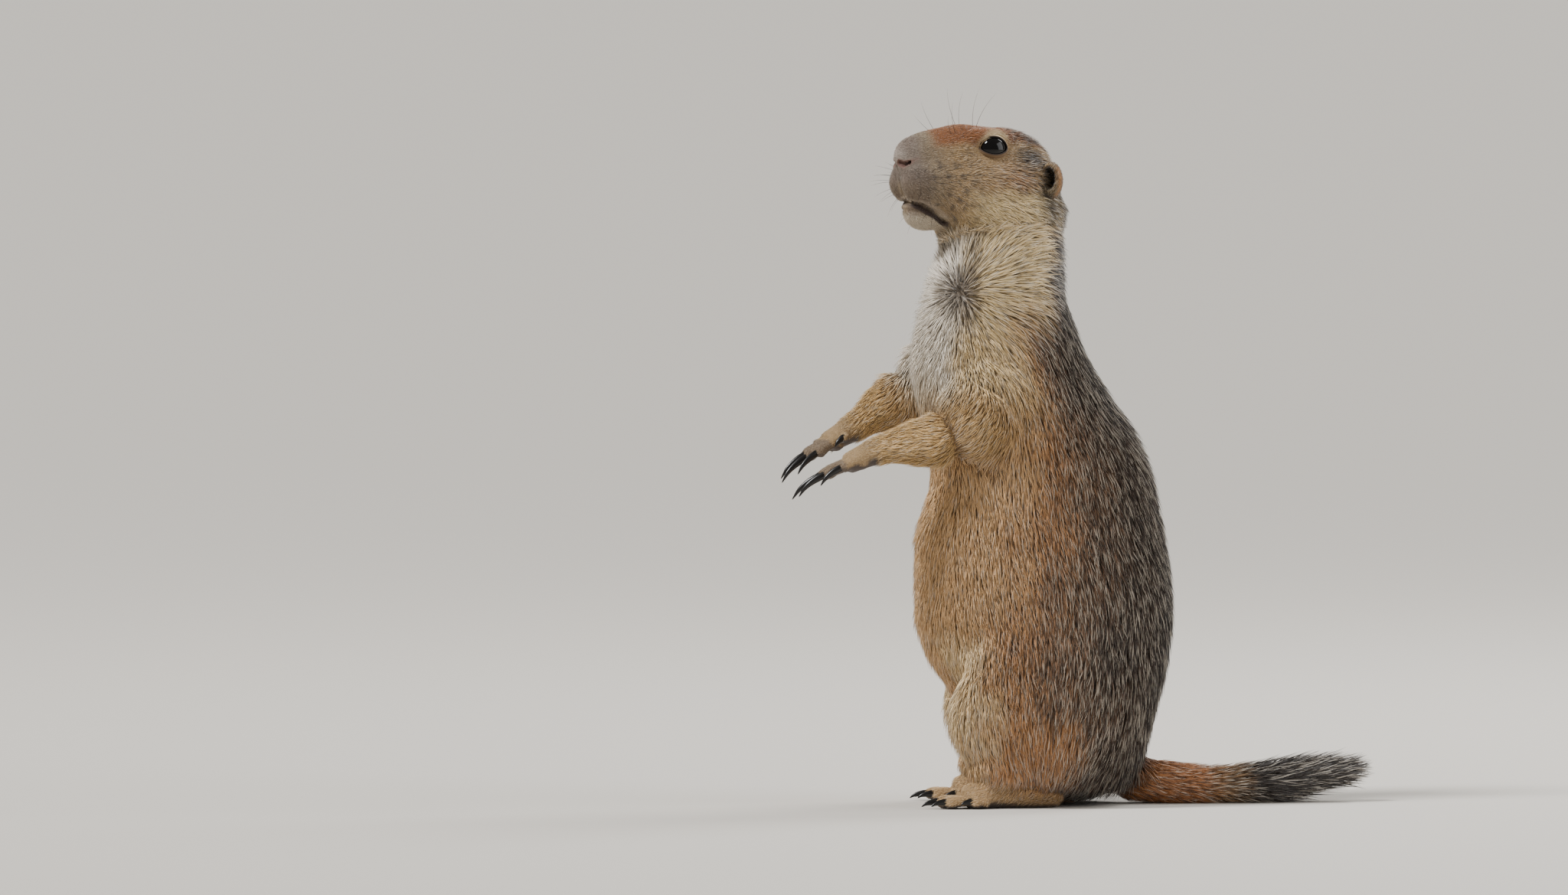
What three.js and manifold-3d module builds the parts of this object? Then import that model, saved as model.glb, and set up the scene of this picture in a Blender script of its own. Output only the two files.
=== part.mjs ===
// A black-tailed prairie dog that stands upright on its hind feet, its forepaws held out and its tail
// laid along the floor behind it: a still, life-size model.
// Millimetres, +Z up. The animal faces -Y and its left side is +X. The origin is on the floor, under the
// middle of the model. Every surface is the outside of the coat.
import * as THREE from 'three';
import { mergeVertices } from 'three/addons/utils/BufferGeometryUtils.js';
import Module from 'manifold-3d';

const wasm = await Module();
wasm.setup();

const GAP = 0.3; // between pieces that touch
const LEFT = 1;
const RIGHT = -1;
const DEGREE = Math.PI / 180;
const UP = new THREE.Vector3(0, 0, 1);

// The trunk, from the rump to inside the head: [height, value] points of its outline seen from the side
// and of its half width.
const TRUNK_BOTTOM = 4;
const TRUNK_TOP = 280;
const BELLY_LINE = [[4, -24], [20, -34], [42, -42], [56, -49], [72, -58.5], [90, -63], [122, -63.5], [150, -58.5],
  [180, -64], [202, -68], [228, -63], [242, -58.5], [258, -51], [280, -42]];
const BACK_LINE = [[4, 34], [20, 43], [42, 49.5], [72, 56], [90, 57.5], [122, 55], [150, 50.5], [168, 44], [188, 30.5],
  [214, 17], [242, 9], [258, 8.5], [280, 4]];
const SIDE_LINE = [[4, 34], [28, 45], [62, 53], [98, 54], [140, 46], [176, 39], [206, 33.5], [232, 28.5], [258, 25],
  [280, 21]];
const TWIST_LINE = [[70, 0], [180, 26], [258, 20]]; // degrees that the trunk turns to its left as it rises

// Forms of muscle and fat that swell out of the trunk: centre and radii. The right leg stands further back,
// and the right shoulder comes forward with the turn of the chest.
const SWELLINGS = [
  { name: 'left haunch', centre: [34, -8, 50], radii: [23, 40, 42] },
  { name: 'right haunch', centre: [-34, -2, 50], radii: [23, 40, 42] },
  { name: 'left knee', centre: [33, -37, 40], radii: [14, 15.5, 22] },
  { name: 'right knee', centre: [-33, -25, 40], radii: [14, 15.5, 22] },
  { name: 'left shoulder', centre: [31, -36, 182], radii: [14, 20, 21] },
  { name: 'right shoulder', centre: [-20, -50, 194], radii: [14, 18, 22] },
];
const TRUNK_BLEND = 9;

// The head in its own frame: x to its left, y backward from the tip of the nose, z up.
const HEAD_PIVOT = new THREE.Vector3(0, -36, 292);
const NOSE_TO_PIVOT = 40;
const HEAD_TURN = 18 * DEGREE; // to its left
const HEAD_CENTRE = [0, 42, -8];
const HEAD_BLEND = 4.5;
const HEAD_FORMS = [
  { name: 'cranium', centre: [0, 51, -4.5], radii: [24, 29.5, 22.8] },
  { name: 'forehead', centre: [0, 34, 5.5], radii: [17, 20, 14] },
  { name: 'bridge', centre: [0, 19, 4], radii: [11, 16, 12.5] },
  { name: 'nose', centre: [0, 7.4, 3.5], radii: [7.2, 6.6, 8.2] },
  { name: 'chin', centre: [0, 16.5, -21], radii: [9, 11.5, 9] },
  { name: 'throat', centre: [0, 44, -24], radii: [19, 24, 15] },
  { name: 'nape', centre: [0, 62, -18], radii: [22, 23, 22] },
];
const HEAD_PAIRS = [
  { name: 'whisker pad', centre: [5.8, 11.5, -7.5], radii: [7.6, 10.5, 9.8] },
  { name: 'cheek', centre: [13.5, 43, -13], radii: [13, 23, 18] },
  { name: 'muzzle side', centre: [9, 26, -8], radii: [9, 16, 13] },
  { name: 'brow', centre: [13.5, 42, 13.5], radii: [6, 12, 5] },
];

// The eye, its lids and the almond-shaped opening between them.
const EYE_AT = { back: 42.5, up: 7.5, sunk: 5.4 };
const EYE_RADIUS = 6.9;
const LID_THICKNESS = 1.0;
const EYE_OPENING = { length: 12.6, height: 8 };
const EYE_AIM = new THREE.Vector3(0.93, -0.2, 0.3).normalize();

// The ear: a low cup behind the cheek, open to the front.
const EAR = { back: 71, up: -7, radii: [5, 5.6, 8.6], hollowShift: [2.6, -2.6, 0.6], hollowRadii: [4.2, 4.1, 6.8] };

// The mouth, as [back, up] places on the side of the head, and the lips beside it.
const MOUTH_LINE = [[9, -17.4], [13, -19.4], [17, -21.6], [21, -25]];
const MOUTH_FRONT_UP = -16.4;
const MOUTH_WIDTH = 0.9;
const LIP_RADIUS = 1.2;

// The arms: joints from the shoulder to the tips of the middle claws.
const ARMS = {
  left: {
    side: LEFT,
    shoulder: [32, -30, 184],
    elbow: [37, -50, 168],
    wrist: [34, -84, 163.5],
    knuckles: [33, -101, 156.5],
    lift: -0.42, // fall of the fingers for each unit forward
  },
  right: {
    side: RIGHT,
    shoulder: [-22, -40, 196],
    elbow: [-24, -60, 187],
    wrist: [-14, -89, 171.5],
    knuckles: [-11, -102, 164.5],
    lift: -0.5,
  },
};
// A finger: place across the palm, how far forward of the knuckles it starts, its length, its claw's length.
const FINGERS = [
  { name: 'index', across: -5.4, start: -1, length: 9.5, claw: 11.5 },
  { name: 'middle', across: -1.8, start: 0, length: 12, claw: 14 },
  { name: 'ring', across: 1.9, start: -0.5, length: 11, claw: 13 },
  { name: 'little', across: 5.4, start: -4.5, length: 7.5, claw: 10.5 },
  { name: 'thumb', across: -7.6, start: -8.5, length: 3.5, claw: 4.5 },
];
const FINGER_RADIUS = 3;
const PALM_PADS = [[-8, 3.6], [-4.5, -3.4], [0, 0]]; // back from the knuckles, and across
const PAD_RADII = [3.2, 3.6, 2.6];
const PAD_DROP = 2.6;
const FORE_CLAW = { height: 1.7, width: 1.3, droop: 0.3 };

// The hind legs below the knee and the feet, as for the left leg.
const LEGS = {
  left: { side: LEFT, back: 0 },
  right: { side: RIGHT, back: 8 },
};
const SHANK = { knee: [32, -34, 30], ankle: [33, -24, 8] };
const ANKLE_CUT_HEIGHT = 12;
const HEEL = [31, 0, 5.2];
const INSTEP = [33, -28, 7.4];
const BALL = [35, -46, 4.4];
const TOES = [
  { name: 'first', across: -6.6, start: 7, length: 7, claw: 5.5 },
  { name: 'second', across: -3.6, start: 1, length: 11.5, claw: 7 },
  { name: 'third', across: 0, start: 0, length: 13, claw: 7.5 },
  { name: 'fourth', across: 3.6, start: 1, length: 11.5, claw: 7 },
  { name: 'fifth', across: 6.4, start: 8, length: 7, claw: 5.5 },
];
const TOE_RADIUS = 2.9;
const TOE_BASE_HEIGHT = 3.2;
const HIND_CLAW = { height: 1.6, width: 1.2, droop: 0.22 };

// The tail, from inside the rump to the tips of its brush.
const TAIL_PATH = [[0, 30, 17], [2, 50, 10], [4, 72, 7.8], [5, 98, 9], [5, 120, 12], [4, 141, 14.5]];
const TAIL_HALF_HEIGHT = [[0, 10], [0.25, 9], [0.55, 8.8], [0.8, 8.2], [0.93, 5], [1, 1.6]];
const TAIL_HALF_WIDTH = [[0, 11], [0.25, 9.5], [0.55, 10], [0.8, 9.6], [0.93, 5.6], [1, 1.8]];
const TAIL_TIP_SHARE = 0.52; // where the dark brush starts

// The brush: a slim core, and flat tapered locks in rings round it that lie back over one another.
const BRUSH_CORE = [[0.5, 1], [0.6, 0.8], [0.75, 0.58], [1, 0.45]]; // share of the full size, along the tail
const LOCK_RINGS = [
  { start: 0.53, locks: 6, length: 27 },
  { start: 0.63, locks: 5, length: 28 },
  { start: 0.73, locks: 5, length: 28 },
  { start: 0.83, locks: 3, length: 24 },
];
const LOCK = { width: 5, thickness: 1.5, unevenness: 0.12 };

// Where the body is parted: a point of each cut and the direction across it.
const WAIST_CUT = { at: [0, 0, 124], across: [0, -0.1, 1] };
const NECK_CUT = { at: [0, -30, 212], across: [0, -0.3, 1] };
const HEAD_CUT = { at: [0, -48, 252], across: [0, 0.12, 1] };
const HAUNCH_CUT = { centre: [50, -8, 44], radii: [25, 42, 42] };

const COLOURS = {
  back: new THREE.MeshStandardMaterial({ color: 0x8a6a4c, roughness: 0.95, metalness: 0 }),
  belly: new THREE.MeshStandardMaterial({ color: 0xc79a68, roughness: 0.95, metalness: 0 }),
  head: new THREE.MeshStandardMaterial({ color: 0xb09472, roughness: 0.95, metalness: 0 }),
  leg: new THREE.MeshStandardMaterial({ color: 0xb5713c, roughness: 0.95, metalness: 0 }),
  arm: new THREE.MeshStandardMaterial({ color: 0xc0a070, roughness: 0.95, metalness: 0 }),
  tail: new THREE.MeshStandardMaterial({ color: 0xb8672f, roughness: 0.95, metalness: 0 }),
  brush: new THREE.MeshStandardMaterial({ color: 0x3a2f2a, roughness: 0.95, metalness: 0 }),
  claw: new THREE.MeshStandardMaterial({ color: 0x17130f, roughness: 0.35, metalness: 0 }),
  eye: new THREE.MeshStandardMaterial({ color: 0x0c0a0a, roughness: 0.05, metalness: 0 }),
};

/** A smooth line through [x, value] points that never overshoots them. */
function smoothLine(points) {
  const last = points.length - 1;
  const rise = (i) => (points[i + 1][1] - points[i][1]) / (points[i + 1][0] - points[i][0]);
  const slopes = points.map((_, i) => {
    if (i === 0) return rise(0);
    if (i === last) return rise(last - 1);
    const before = rise(i - 1);
    const after = rise(i);
    return before * after <= 0 ? 0 : (2 * before * after) / (before + after);
  });
  return (x) => {
    const at = Math.min(Math.max(x, points[0][0]), points[last][0]);
    let i = 0;
    while (i < last - 1 && at > points[i + 1][0]) i += 1;
    const span = points[i + 1][0] - points[i][0];
    const t = (at - points[i][0]) / span;
    const [a, b] = [points[i][1], points[i + 1][1]];
    const [da, db] = [slopes[i] * span, slopes[i + 1] * span];
    return a + t * (da + t * (3 * (b - a) - 2 * da - db + t * (2 * (a - b) + da + db)));
  };
}

const vector = (numbers) => new THREE.Vector3(...numbers);
const onSide = ([x, y, z], side) => new THREE.Vector3(x * side, y, z);

/** About how far a point lies outside an ellipsoid. */
function ellipsoidDistance(point, centre, radii) {
  const offset = point.clone().sub(centre);
  const scaled = offset.clone().divide(radii);
  const steep = scaled.clone().divide(radii);
  const reach = scaled.length();
  return reach < 1e-6 ? -Math.min(radii.x, radii.y, radii.z) : (reach * (reach - 1)) / steep.length();
}

/** The smaller of two distances, rounded over where they are closer than `width`. */
function blended(a, b, width) {
  const h = Math.max(width - Math.abs(a - b), 0) / width;
  return Math.min(a, b) - (h * h * width) / 4;
}

/** The forms as ellipsoids, with each paired one on both sides. */
function placedForms(single, paired) {
  const both = [LEFT, RIGHT].flatMap((side) => paired.map((form) => ({ ...form, side })));
  return [...single.map((form) => ({ ...form, side: LEFT })), ...both].map((form) => ({
    centre: onSide(form.centre, form.side),
    radii: vector(form.radii),
  }));
}

const headForms = placedForms(HEAD_FORMS, HEAD_PAIRS);
const swellings = SWELLINGS.map((form) => ({ centre: vector(form.centre), radii: vector(form.radii) }));
const bellyAt = smoothLine(BELLY_LINE);
const backAt = smoothLine(BACK_LINE);
const sideAt = smoothLine(SIDE_LINE);
const twistAt = smoothLine(TWIST_LINE);
const tailWidthAt = smoothLine(TAIL_HALF_WIDTH);
const tailHeightAt = smoothLine(TAIL_HALF_HEIGHT);

/** About how far a point of the head's frame lies outside the head. */
function headDistance(point) {
  return headForms
    .map((form) => ellipsoidDistance(point, form.centre, form.radii))
    .reduce((a, b) => blended(a, b, HEAD_BLEND));
}

const trunkMiddle = (z) => (bellyAt(z) + backAt(z)) / 2;

/** About how far a point lies outside the trunk: its elliptic section at that height and the swellings. */
function trunkDistance(point) {
  const depth = (backAt(point.z) - bellyAt(point.z)) / 2;
  const radii = new THREE.Vector3(sideAt(point.z), depth, 1);
  const turned = new THREE.Vector3(point.x, point.y - trunkMiddle(point.z), 0);
  turned.applyAxisAngle(UP, -twistAt(point.z) * DEGREE);
  const section = ellipsoidDistance(turned, new THREE.Vector3(), radii);
  return swellings
    .map((form) => ellipsoidDistance(point, form.centre, form.radii))
    .reduce((a, b) => blended(a, b, TRUNK_BLEND), section);
}

/** The point where a ray from inside a form leaves it, or leaves the form grown by `grow`. */
function surfacePoint(distance, start, direction, grow = 0, furthest = 90) {
  const at = (reach) => start.clone().addScaledVector(direction, reach);
  let [inside, outside] = [0, furthest];
  for (let step = 0; step < 28; step += 1) {
    const middle = (inside + outside) / 2;
    if (distance(at(middle)) < grow) inside = middle;
    else outside = middle;
  }
  return at((inside + outside) / 2);
}

/** A closed geometry as a solid, its faces turned outwards. */
function solidOf(geometry) {
  const bare = geometry.clone();
  bare.deleteAttribute('normal');
  bare.deleteAttribute('uv');
  const merged = mergeVertices(bare, 1e-4);
  const vertProperties = merged.getAttribute('position').array;
  const corners = new Uint32Array(merged.index.array);
  const made = new wasm.Manifold(new wasm.Mesh({ numProp: 3, vertProperties, triVerts: corners }));
  if (made.volume() > 0) return made;
  const turned = corners.map((_, i) => corners[i - (i % 3) + ((3 - (i % 3)) % 3)]);
  return new wasm.Manifold(new wasm.Mesh({ numProp: 3, vertProperties, triVerts: turned }));
}

/** A solid whose surface is place(share, angle): share runs from one pole to the other, angle once around. */
function moulded(around, along, place) {
  const grid = new THREE.SphereGeometry(1, around, along);
  const position = grid.getAttribute('position');
  const uv = grid.getAttribute('uv');
  for (let i = 0; i < position.count; i += 1) {
    const share = 1 - uv.getY(i);
    const turn = share === 0 || share === 1 ? 0 : uv.getX(i) % 1;
    position.setXYZ(i, ...place(share, turn * 2 * Math.PI).toArray());
  }
  return solidOf(grid);
}

/** 1 along a limb and falling to 0 over its rounded ends. */
function roundedEnds(distance, length, startCap, endCap) {
  const end = (far, cap) => (far >= cap ? 1 : Math.sqrt(Math.max(0, 1 - ((cap - far) / cap) ** 2)));
  return end(distance, startCap) * end(length - distance, endCap);
}

const END_CROWDING = 0.55; // how far the rings of a limb crowd towards its ends

/**
 * A solid of oval section along a path. width and height are half sizes, as functions of the share of the
 * path, and grow adds to both.
 */
function limb({ path, width, height = width, around = 12, along = 14, caps = [4, 4], grow = 0, up = UP }) {
  const curve = new THREE.CatmullRomCurve3(path, false, 'centripetal');
  const length = curve.getLength();
  const endGrowth = (share) => (share <= 0 ? -grow : 0) + (share >= 1 ? grow : 0);
  return moulded(around, along, (share, angle) => {
    const eased = (1 - Math.cos(share * Math.PI)) / 2;
    const t = share + (eased - share) * END_CROWDING;
    const forward = curve.getTangentAt(t);
    const side = forward.clone().cross(up).normalize();
    const over = side.clone().cross(forward).normalize();
    const round = roundedEnds(t * length, length, caps[0], caps[1]);
    return curve.getPointAt(t)
      .addScaledVector(forward, endGrowth(share))
      .addScaledVector(side, Math.cos(angle) * (width(t) + grow) * round)
      .addScaledVector(over, Math.sin(angle) * (height(t) + grow) * round);
  });
}

/** An ellipsoid as a solid. */
function ellipsoid(centre, radii, around = 20, along = 12) {
  return moulded(around, along, (share, angle) => {
    const polar = share * Math.PI;
    const direction = new THREE.Vector3(
      Math.sin(polar) * Math.cos(angle), Math.sin(polar) * Math.sin(angle), Math.cos(polar));
    return direction.multiply(radii).add(centre);
  });
}

/** The largest closed body of a solid. */
function largest(solid) {
  return solid.decompose().sort((a, b) => b.volume() - a.volume())[0];
}

/** The part of a solid beyond a cut, half a gap clear of it. way is 1 for the far side and -1 for the near side. */
function beyond(solid, cut, way) {
  const across = vector(cut.across).normalize().multiplyScalar(way);
  return solid.trimByPlane(across.toArray(), across.dot(vector(cut.at)) + GAP / 2);
}

const union = (solids) => wasm.Manifold.union(solids);
const aboveFloor = (solid) => solid.trimByPlane([0, 0, 1], 0);

/** The trunk from the rump to inside the head, grown by `grow`. */
function trunkSolid(around, along, grow = 0) {
  return moulded(around, along, (share, angle) => {
    const eased = (1 - Math.cos(share * Math.PI)) / 2;
    const rise = (share * 0.6 + eased * 0.4) * (TRUNK_TOP - TRUNK_BOTTOM);
    const z = TRUNK_BOTTOM + rise;
    const start = new THREE.Vector3(0, trunkMiddle(z), z);
    if (share === 0 || share === 1) return start.addScaledVector(UP, share === 0 ? -grow : grow);
    const direction = new THREE.Vector3(Math.cos(angle), Math.sin(angle), 0);
    const point = surfacePoint(trunkDistance, start, direction, grow);
    const round = roundedEnds(rise, TRUNK_TOP - TRUNK_BOTTOM, 10, 8);
    return start.lerp(point, round);
  });
}

/** The bare form of the head, in its own frame. */
function headForm(around, along, grow = 0) {
  const centre = vector(HEAD_CENTRE);
  return moulded(around, along, (share, angle) => {
    const polar = Math.PI * (0.75 * share + 0.25 * share * share);
    const ring = Math.sin(polar);
    const direction = new THREE.Vector3(ring * Math.cos(angle), -Math.cos(polar), ring * Math.sin(angle));
    return surfacePoint(headDistance, centre, direction, grow);
  });
}

/** How far from the middle plane the side of the head lies, at a place given by its distance back and up. */
function headSide(back, up) {
  const start = new THREE.Vector3(0, back, up);
  return surfacePoint(headDistance, start, new THREE.Vector3(1, 0, 0), 0, 40).x;
}

/** The centre of an eyeball in the head's frame. */
function eyeCentre(side) {
  return new THREE.Vector3(side * (headSide(EYE_AT.back, EYE_AT.up) - EYE_AT.sunk), EYE_AT.back, EYE_AT.up);
}

/** The opening between the lids: an almond-shaped bar from the eye's centre outwards. */
function eyeOpening(side) {
  const { length, height } = EYE_OPENING;
  const almond = new THREE.Shape();
  almond.moveTo(-length / 2, -0.4);
  almond.bezierCurveTo(-length * 0.22, height * 0.72, length * 0.26, height * 0.66, length / 2, 0);
  almond.bezierCurveTo(length * 0.24, -height * 0.62, -length * 0.14, -height * 0.6, -length / 2, -0.4);
  const bar = new THREE.ExtrudeGeometry(almond, { depth: 12, bevelEnabled: false, curveSegments: 7 });
  const aim = EYE_AIM.clone();
  const backward = new THREE.Vector3(0, 1, -0.1).cross(aim).cross(aim).negate().normalize();
  const frame = new THREE.Matrix4().makeBasis(backward, aim.clone().cross(backward), aim);
  bar.applyMatrix4(frame.setPosition(eyeCentre(LEFT)));
  if (side === RIGHT) bar.applyMatrix4(new THREE.Matrix4().makeScale(-1, 1, 1));
  return solidOf(bar);
}

/** The line of the mouth on the skin, from its left corner round the front to its right corner. */
function mouthPath(raise) {
  const half = [...MOUTH_LINE].reverse().map(([back, up]) => [headSide(back, up + raise), back, up + raise]);
  const start = new THREE.Vector3(0, HEAD_CENTRE[1], MOUTH_FRONT_UP + raise);
  const front = surfacePoint(headDistance, start, new THREE.Vector3(0, -1, 0));
  const left = half.map((p) => vector(p));
  const right = [...left].reverse().map((p) => new THREE.Vector3(-p.x, p.y, p.z));
  return [...left, front, ...right];
}

/** A nostril: a comma-shaped slit at the side of the nose. */
function nostril(side) {
  const at = [[2.4, 1.6, 0.4], [4.6, 2.4, -0.6], [6.4, 4.6, 0.4], [6.6, 7.4, 1.8]];
  const path = at.map((p) => onSide(p, side));
  const width = smoothLine([[0, 0.7], [0.45, 1.3], [1, 0.6]]);
  return limb({ path, width: () => 2, height: width, around: 8, along: 8, caps: [1, 1] });
}

/** The head with its lids, lips, nostrils and mouth, in its own frame. */
function headSolid() {
  const lip = (raise) => limb({
    path: mouthPath(raise), width: () => LIP_RADIUS, around: 6, along: 16, caps: [3, 3],
  });
  const lids = [LEFT, RIGHT].map((side) => {
    const radius = EYE_RADIUS + GAP + LID_THICKNESS;
    return ellipsoid(eyeCentre(side), new THREE.Vector3(radius, radius, radius), 16, 9);
  });
  const groove = limb({
    path: mouthPath(0), width: () => 1.6, height: () => MOUTH_WIDTH / 2, around: 6, along: 18, caps: [1, 1],
  });
  const cleft = limb({
    path: [[0, 0.4, -2], [0, 1.2, -8], [0, 2.6, -14.4]].map((p) => vector(p)),
    width: () => 0.55, height: () => 1.3, around: 6, along: 8, caps: [1, 1], up: new THREE.Vector3(0, 1, 0),
  });
  const sockets = [LEFT, RIGHT].map((side) => {
    const radius = EYE_RADIUS + GAP;
    return ellipsoid(eyeCentre(side), new THREE.Vector3(radius, radius, radius), 16, 9);
  });
  const openings = [LEFT, RIGHT].flatMap((side) => [eyeOpening(side), nostril(side)]);
  const full = union([headForm(24, 25), lip(1.1), lip(-1.3), ...lids]);
  return largest(full.subtract(union([groove, cleft, ...sockets, ...openings])));
}

/** An ear: a low cup with a rounded rim, in the head's frame. */
function earSolid(side) {
  const at = new THREE.Vector3(side * (headSide(EAR.back, EAR.up) + 0.6), EAR.back, EAR.up);
  const hollowAt = at.clone().add(onSide(EAR.hollowShift, side));
  return ellipsoid(at, vector(EAR.radii), 13, 8).subtract(ellipsoid(hollowAt, vector(EAR.hollowRadii), 13, 8));
}

const headPlace = new THREE.Matrix4()
  .makeTranslation(HEAD_PIVOT)
  .multiply(new THREE.Matrix4().makeRotationZ(HEAD_TURN))
  .multiply(new THREE.Matrix4().makeTranslation(0, -NOSE_TO_PIVOT, 0));
const inPlace = (solid) => solid.transform(headPlace.elements);

/** A claw: a curved taper from inside a finger or toe tip. */
function claw({ root, forward, length, form, grow = 0 }) {
  const at = (along, fall) => root.clone().addScaledVector(forward, along).addScaledVector(UP, -fall);
  const drop = form.droop * length;
  const path = [at(-2.5, -0.2), at(length * 0.35, drop * 0.1), at(length * 0.72, drop * 0.5), at(length, drop * 1.3)];
  const taper = smoothLine([[0, 0.8], [0.25, 1], [0.6, 0.72], [1, 0.2]]);
  return limb({
    path, width: (t) => form.width * taper(t), height: (t) => form.height * taper(t),
    around: 5, along: 7, caps: [1.2, 0.5], grow,
  });
}

/** The digits of one paw or foot: each a rounded finger with the place and length of its claw. */
function digits({ list, base, forward, across, side, fall, radius, form }) {
  return list.map((digit) => {
    const start = base.clone().addScaledVector(across, digit.across * side).addScaledVector(forward, digit.start);
    const spread = forward.clone().addScaledVector(across, (digit.across * side) * 0.03).normalize();
    const dip = UP.clone().multiplyScalar(-fall);
    const at = (share, drop) => start.clone()
      .addScaledVector(spread, digit.length * share)
      .addScaledVector(dip, digit.length * drop);
    const path = [at(-0.35, 0), at(0.3, -0.06), at(0.7, 0.12), at(1, 0.34)];
    const thin = digit.name === 'thumb' ? 0.75 : 1;
    const swell = smoothLine([[0, 1], [0.5, 0.92], [0.8, 1.06], [1, 0.9]]);
    const finger = (grow) => limb({
      path, width: (t) => radius * thin * swell(t), height: (t) => radius * thin * swell(t) * 0.98,
      around: 6, along: 6, caps: [2, 2.6], grow,
    });
    const root = at(1, 0.34).addScaledVector(spread, -0.4).addScaledVector(UP, radius * 0.22);
    const nail = claw({ root, forward: spread, length: digit.claw, form });
    return { name: digit.name, finger: finger(0), nail, clear: finger(GAP) };
  });
}

/** One arm as separate solids: upper arm, forearm, forepaw and claws. trunk is the trunk grown by a gap. */
function armSolids(arm, trunk) {
  const [shoulder, elbow, wrist, knuckles] = [arm.shoulder, arm.elbow, arm.wrist, arm.knuckles].map((p) => vector(p));
  const upperAt = smoothLine([[0, 15], [0.5, 15.5], [1, 13]]);
  const upper = (grow) => limb({
    path: [shoulder, shoulder.clone().lerp(elbow, 0.55).add(new THREE.Vector3(arm.side * 1.5, 0, -1)), elbow],
    width: (t) => upperAt(t) * 0.92, height: upperAt, around: 16, along: 12, caps: [12, 11], grow,
  });
  const middle = elbow.clone().lerp(wrist, 0.45).add(new THREE.Vector3(0, 0, 1));
  const lowerPath = [elbow, middle, wrist, knuckles];
  const lowerWidth = smoothLine([[0, 11.5], [0.3, 10.5], [0.62, 7], [0.76, 6.6], [1, 8.2]]);
  const lowerHeight = smoothLine([[0, 13.5], [0.3, 11.8], [0.62, 7], [0.76, 6], [1, 4.8]]);
  const lower = (grow) => limb({
    path: lowerPath, width: lowerWidth, height: lowerHeight, around: 14, along: 16, caps: [10, 3], grow,
  });
  const forward = knuckles.clone().sub(wrist).setZ(0).normalize().add(new THREE.Vector3(0, 0, arm.lift)).normalize();
  const across = UP.clone().cross(forward).normalize();
  const hand = digits({
    list: FINGERS, base: knuckles, forward, across, side: arm.side, fall: 0.25, radius: FINGER_RADIUS, form: FORE_CLAW,
  });
  const pads = (grow) => PALM_PADS.map(([back, over]) => {
    const centre = knuckles.clone()
      .addScaledVector(forward, back)
      .addScaledVector(across, over * arm.side)
      .addScaledVector(UP, -PAD_DROP);
    return ellipsoid(centre, vector(PAD_RADII).addScalar(grow), 7, 5);
  });
  const wristCut = { at: wrist.toArray(), across: knuckles.clone().sub(wrist).toArray() };
  const outer = upper(GAP);
  const pawClear = union([lower(GAP), ...hand.map((d) => d.clear), ...pads(GAP)]);
  return {
    upper_arm: largest(upper(0).subtract(trunk)),
    forearm: largest(beyond(lower(0), wristCut, -1).subtract(outer).subtract(trunk)),
    forepaw: largest(union([beyond(lower(0), wristCut, 1), ...hand.map((d) => d.finger), ...pads(0)])),
    claws: hand.map((d) => ({ name: d.name, solid: largest(d.nail.subtract(pawClear)) })),
  };
}

/** One hind leg below the knee: shank, foot and claws. trunk is the trunk grown by a gap. */
function legSolids(leg, trunk) {
  const at = ([x, y, z]) => new THREE.Vector3(x * leg.side, y + leg.back, z);
  const shankWidth = smoothLine([[0, 13.5], [0.6, 12], [1, 9]]);
  const shank = limb({
    path: [at(SHANK.knee), at(SHANK.knee).lerp(at(SHANK.ankle), 0.5), at(SHANK.ankle)],
    width: shankWidth, height: (t) => shankWidth(t) * 1.15, around: 16, along: 10, caps: [12, 8],
    up: new THREE.Vector3(0, 1, 0),
  });
  const forward = at(BALL).sub(at(HEEL)).setZ(0).normalize();
  const across = UP.clone().cross(forward).normalize();
  const sole = (grow) => limb({
    path: [at(HEEL), at(INSTEP), at(BALL)],
    width: smoothLine([[0, 5.5], [0.5, 7.2], [1, 8.8]]), height: smoothLine([[0, 6.6], [0.45, 8.6], [1, 5.8]]),
    around: 12, along: 9, caps: [5, 4], grow,
  });
  const toes = digits({
    list: TOES.map((toe) => ({ ...toe, start: -toe.start })), base: at(BALL).setZ(TOE_BASE_HEIGHT), forward, across,
    side: leg.side, fall: 0.16, radius: TOE_RADIUS, form: HIND_CLAW,
  });
  const ankleCut = { at: [0, 0, ANKLE_CUT_HEIGHT], across: [0, 0, 1] };
  const foot = beyond(union([sole(0), ...toes.map((d) => d.finger)]), ankleCut, -1);
  const footClear = union([sole(GAP), ...toes.map((d) => d.clear)]);
  return {
    shank: largest(beyond(shank, ankleCut, 1).subtract(trunk)),
    hind_foot: largest(aboveFloor(foot.subtract(trunk))),
    claws: toes.map((d) => ({ name: d.name, solid: aboveFloor(largest(d.nail.subtract(footClear))) })),
  };
}

/** A place beside the tail: a share of its length, an angle round it and a share of its full coat. */
function besideTail(curve, share, angle, coat) {
  const forward = curve.getTangentAt(share);
  const side = forward.clone().cross(UP).normalize();
  const over = side.clone().cross(forward).normalize();
  return curve.getPointAt(share)
    .addScaledVector(side, Math.cos(angle) * tailWidthAt(share) * coat)
    .addScaledVector(over, Math.sin(angle) * tailHeightAt(share) * coat);
}

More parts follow.
